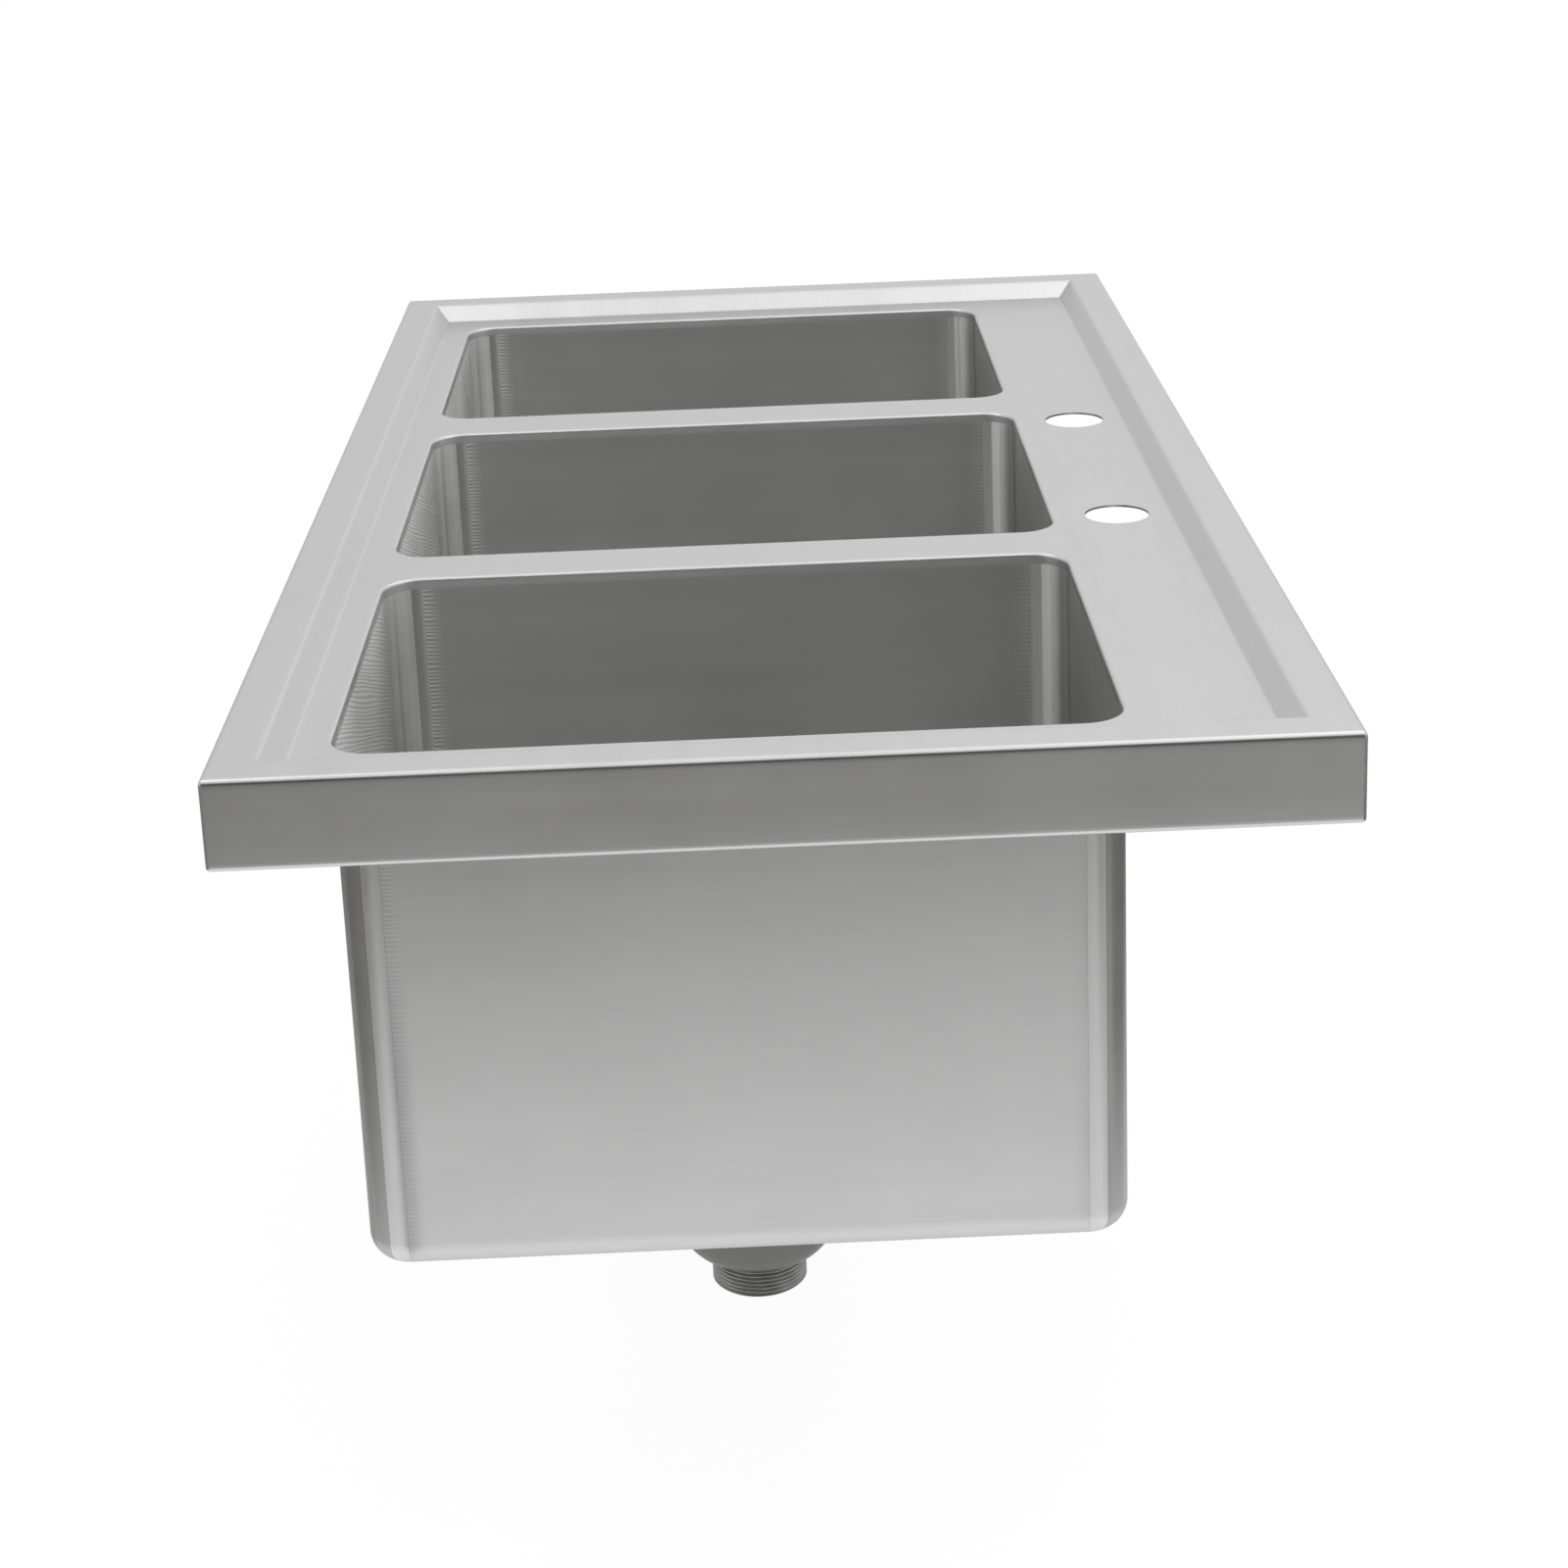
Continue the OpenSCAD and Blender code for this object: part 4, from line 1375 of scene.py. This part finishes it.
class SINK_OT_set_stage(bpy.types.Operator):
    """Set the floor, the studio light and the camera"""

    bl_idname = "sink.set_stage"
    bl_label = "Set the stage"

    # Places of the softboxes, which all face the middle of the deck
    OVERHEAD = Vector((-1.3, 0, 2.4))
    BACK = Vector((0.1, 1.3, 2.6))
    FRONT = Vector((0.1, -1.1, 2.2))

    def execute(self, context):
        scene = context.scene
        scene.view_settings.view_transform = "Standard"
        stage = scene.sink_stage
        self.world(scene)
        self.floor(stage)
        self.softbox("Overhead softbox", self.OVERHEAD, (2.6, 2.2), stage.overhead_power)
        self.softbox("Back softbox", self.BACK, (3.2, 1.8), stage.back_power)
        self.softbox("Front softbox", self.FRONT, (1.4, 0.4), stage.front_power)
        self.surround(stage)
        self.dark_end(stage)
        self.camera(scene, stage)
        return {"FINISHED"}

    def seen(self, tree, *kinds):
        """Whether a ray is of one of the named kinds."""
        path = place(tree, "ShaderNodeLightPath").outputs
        found = 0.0
        for kind in kinds:
            found = maths(tree, "MAXIMUM", path[f"Is {kind} Ray"], found)
        return found

    def world(self, scene):
        """A white surround that reflections see dimmer at the front, low at the back and behind a softbox."""
        world = bpy.data.worlds.new("Studio")
        world.use_nodes = True
        tree = world.node_tree
        tree.nodes.clear()

        def glow(strength):
            return result(tree, "ShaderNodeBackground", inputs={"Color": (1, 1, 1, 1), "Strength": strength})

        way = place(tree, "ShaderNodeTexCoord").outputs["Generated"]
        backwards = place(tree, "ShaderNodeSeparateXYZ", inputs={0: way}).outputs["Y"]
        softbox = {0: way, 1: self.BACK.normalized()}
        towards = place(tree, "ShaderNodeVectorMath", {"operation": "DOT_PRODUCT"}, softbox).outputs["Value"]
        dimmed = product(
            tree,
            ranged(tree, backwards, (-0.5, 0.72), (0.2, 1.0)),
            ranged(tree, backwards, (0.25, 1.0), (0.6, 0.75)),
            ranged(tree, towards, (0.86, 1.0), (0.95, 0.5)),
        )
        lit = self.mixed(tree, self.seen(tree, "Glossy"), glow(0.75), glow(dimmed))
        whole = self.mixed(tree, self.seen(tree, "Camera", "Transmission"), lit, glow(1.0))
        place(tree, "ShaderNodeOutputWorld", inputs={"Surface": whole})
        scene.world = world

    def mixed(self, tree, share, first, second):
        """Two shaders mixed."""
        return result(tree, "ShaderNodeMixShader", inputs={0: share, 1: first, 2: second})

    def floor(self, stage):
        """A plain white floor that keeps a faint shadow and is clear from below."""
        half = 9.0
        low = CAD_BOX[0].z - stage.floor_gap
        corners = [(x * half, y * half, low) for x, y in ((-1, -1), (1, -1), (1, 1), (-1, 1))]
        mesh = bpy.data.meshes.new("Floor")
        mesh.from_pydata(corners, [], [(0, 1, 2, 3)])
        material = bpy.data.materials.new("Floor paper")
        material.use_nodes = True
        tree = material.node_tree
        tree.nodes.clear()
        paper = result(tree, "ShaderNodeBsdfDiffuse", inputs={"Color": (0.92, 0.92, 0.92, 1)})
        glow = result(tree, "ShaderNodeEmission", inputs={"Color": (1, 1, 1, 1), "Strength": 1.06})
        share = maths(tree, "MULTIPLY", self.seen(tree, "Camera", "Glossy", "Transmission"), 0.85)
        under = place(tree, "ShaderNodeNewGeometry").outputs["Backfacing"]
        clear = result(tree, "ShaderNodeBsdfTransparent")
        surface = self.mixed(tree, under, self.mixed(tree, share, paper, glow), clear)
        place(tree, "ShaderNodeOutputMaterial", inputs={"Surface": surface})
        mesh.materials.append(material)
        floor = bpy.data.objects.new("Floor", mesh)
        bpy.context.scene.collection.objects.link(floor)

    def surround(self, stage):
        """Grey cards on the floor all round, which darken the upright faces."""
        low = CAD_BOX[0].z - stage.floor_gap + MM
        near_x, near_y, slant, far = 1.18, 0.6, 0.1, 4.0
        inner = [(near_x - slant, -near_y), (near_x + slant, near_y), (-near_x, near_y), (-near_x, -near_y)]
        outer = [(far, -far), (far, far), (-far, far), (-far, -far)]
        faces = [(k, 4 + k, 4 + (k + 1) % 4, (k + 1) % 4) for k in range(4)]
        self.card("Grey cards", [(x, y, low) for x, y in inner + outer], faces, stage.card)

    def dark_end(self, stage):
        """The unlit end of the studio behind the camera, which draws a dark line along bends that face it."""
        low = CAD_BOX[0].z - stage.floor_gap
        away, half, high = 3.2, 3.0, 2.2
        corners = [(away, -half, low), (away, half, low), (away, half, high), (away, -half, high)]
        self.card("Dark end", corners, [(0, 1, 2, 3)], stage.dark)

    def card(self, name, corners, faces, shade):
        """A card that only reflections see."""
        mesh = bpy.data.meshes.new(name)
        mesh.from_pydata(corners, [], faces)
        material = bpy.data.materials.new(name)
        material.use_nodes = True
        tree = material.node_tree
        tree.nodes.clear()
        glow = result(tree, "ShaderNodeEmission", inputs={"Color": (*shade, 1), "Strength": 1.0})
        place(tree, "ShaderNodeOutputMaterial", inputs={"Surface": glow})
        mesh.materials.append(material)
        card = bpy.data.objects.new(name, mesh)
        card.visible_camera = False
        card.visible_diffuse = False
        card.visible_shadow = False
        bpy.context.scene.collection.objects.link(card)

    def softbox(self, name, spot, size, power):
        """A large rectangular light that faces the middle of the deck."""
        light = bpy.data.lights.new(name, "AREA")
        light.shape = "RECTANGLE"
        light.size, light.size_y = size
        light.energy = power
        lamp = bpy.data.objects.new(name, light)
        lamp.location = spot
        lamp.rotation_euler = (-spot).to_track_quat("-Z", "Y").to_euler()
        bpy.context.scene.collection.objects.link(lamp)

    def camera(self, scene, stage):
        """The camera at the photograph's place."""
        yaw, pitch, roll = (
            math.radians(a) for a in (stage.camera_yaw, stage.camera_pitch, stage.camera_roll)
        )
        ahead = Vector((-math.cos(pitch) * math.cos(yaw), math.cos(pitch) * math.sin(yaw), -math.sin(pitch)))
        level = ahead.cross(UP).normalized()
        upright = level.cross(ahead)
        right = level * math.cos(roll) + upright * math.sin(roll)
        top = upright * math.cos(roll) - level * math.sin(roll)
        data = bpy.data.cameras.new("Camera")
        data.sensor_width = 36.0
        data.lens = data.sensor_width * stage.focal_ratio
        data.shift_y = stage.shift
        data.clip_end = 50.0
        camera = bpy.data.objects.new("Camera", data)
        turn = Matrix((right, top, -ahead)).transposed().to_4x4()
        spot = Vector((DECK_HIGH.x + stage.camera_front, stage.camera_aside, DECK_HIGH.z + stage.camera_rise))
        camera.matrix_world = Matrix.Translation(spot) @ turn
        scene.collection.objects.link(camera)
        scene.camera = camera


OPERATORS = (
    SINK_OT_fold_deck,
    SINK_OT_weld_bowls,
    SINK_OT_turn_drains,
    SINK_OT_lay_seals,
    SINK_OT_cast_locknuts,
    SINK_OT_press_baskets,
    SINK_OT_mould_stoppers,
    SINK_OT_set_stage,
)

SETTINGS = {
    "sink_deck": DeckSizes,
    "sink_bowl": BowlSizes,
    "sink_drain": DrainSizes,
    "sink_basket": BasketSizes,
    "sink_finishes": Finishes,
    "sink_stage": StageSettings,
}


class SINK_PT_sidebar(bpy.types.Panel):
    """The sizes, the colours and the steps that build the sink"""

    bl_idname = "SINK_PT_sidebar"
    bl_label = "Three-compartment sink"
    bl_space_type = "VIEW_3D"
    bl_region_type = "UI"
    bl_category = "Sink"

    def draw(self, context):
        for operator in OPERATORS:
            self.layout.operator(operator.bl_idname)
        for name, group in SETTINGS.items():
            box = self.layout.box()
            box.label(text=group.__doc__)
            for key in group.__annotations__:
                box.prop(getattr(context.scene, name), key)


def register():
    for item in (*SETTINGS.values(), *OPERATORS, SINK_PT_sidebar):
        bpy.utils.register_class(item)
    for name, group in SETTINGS.items():
        setattr(bpy.types.Scene, name, bpy.props.PointerProperty(type=group))


def unregister():
    for name in SETTINGS:
        delattr(bpy.types.Scene, name)
    for item in reversed((*SETTINGS.values(), *OPERATORS, SINK_PT_sidebar)):
        bpy.utils.unregister_class(item)


def main():
    """Builds the sink step by step."""
    register()
    for operator in OPERATORS:
        family, step = operator.bl_idname.split(".")
        getattr(getattr(bpy.ops, family), step)()


if __name__ == "__main__":
    main()
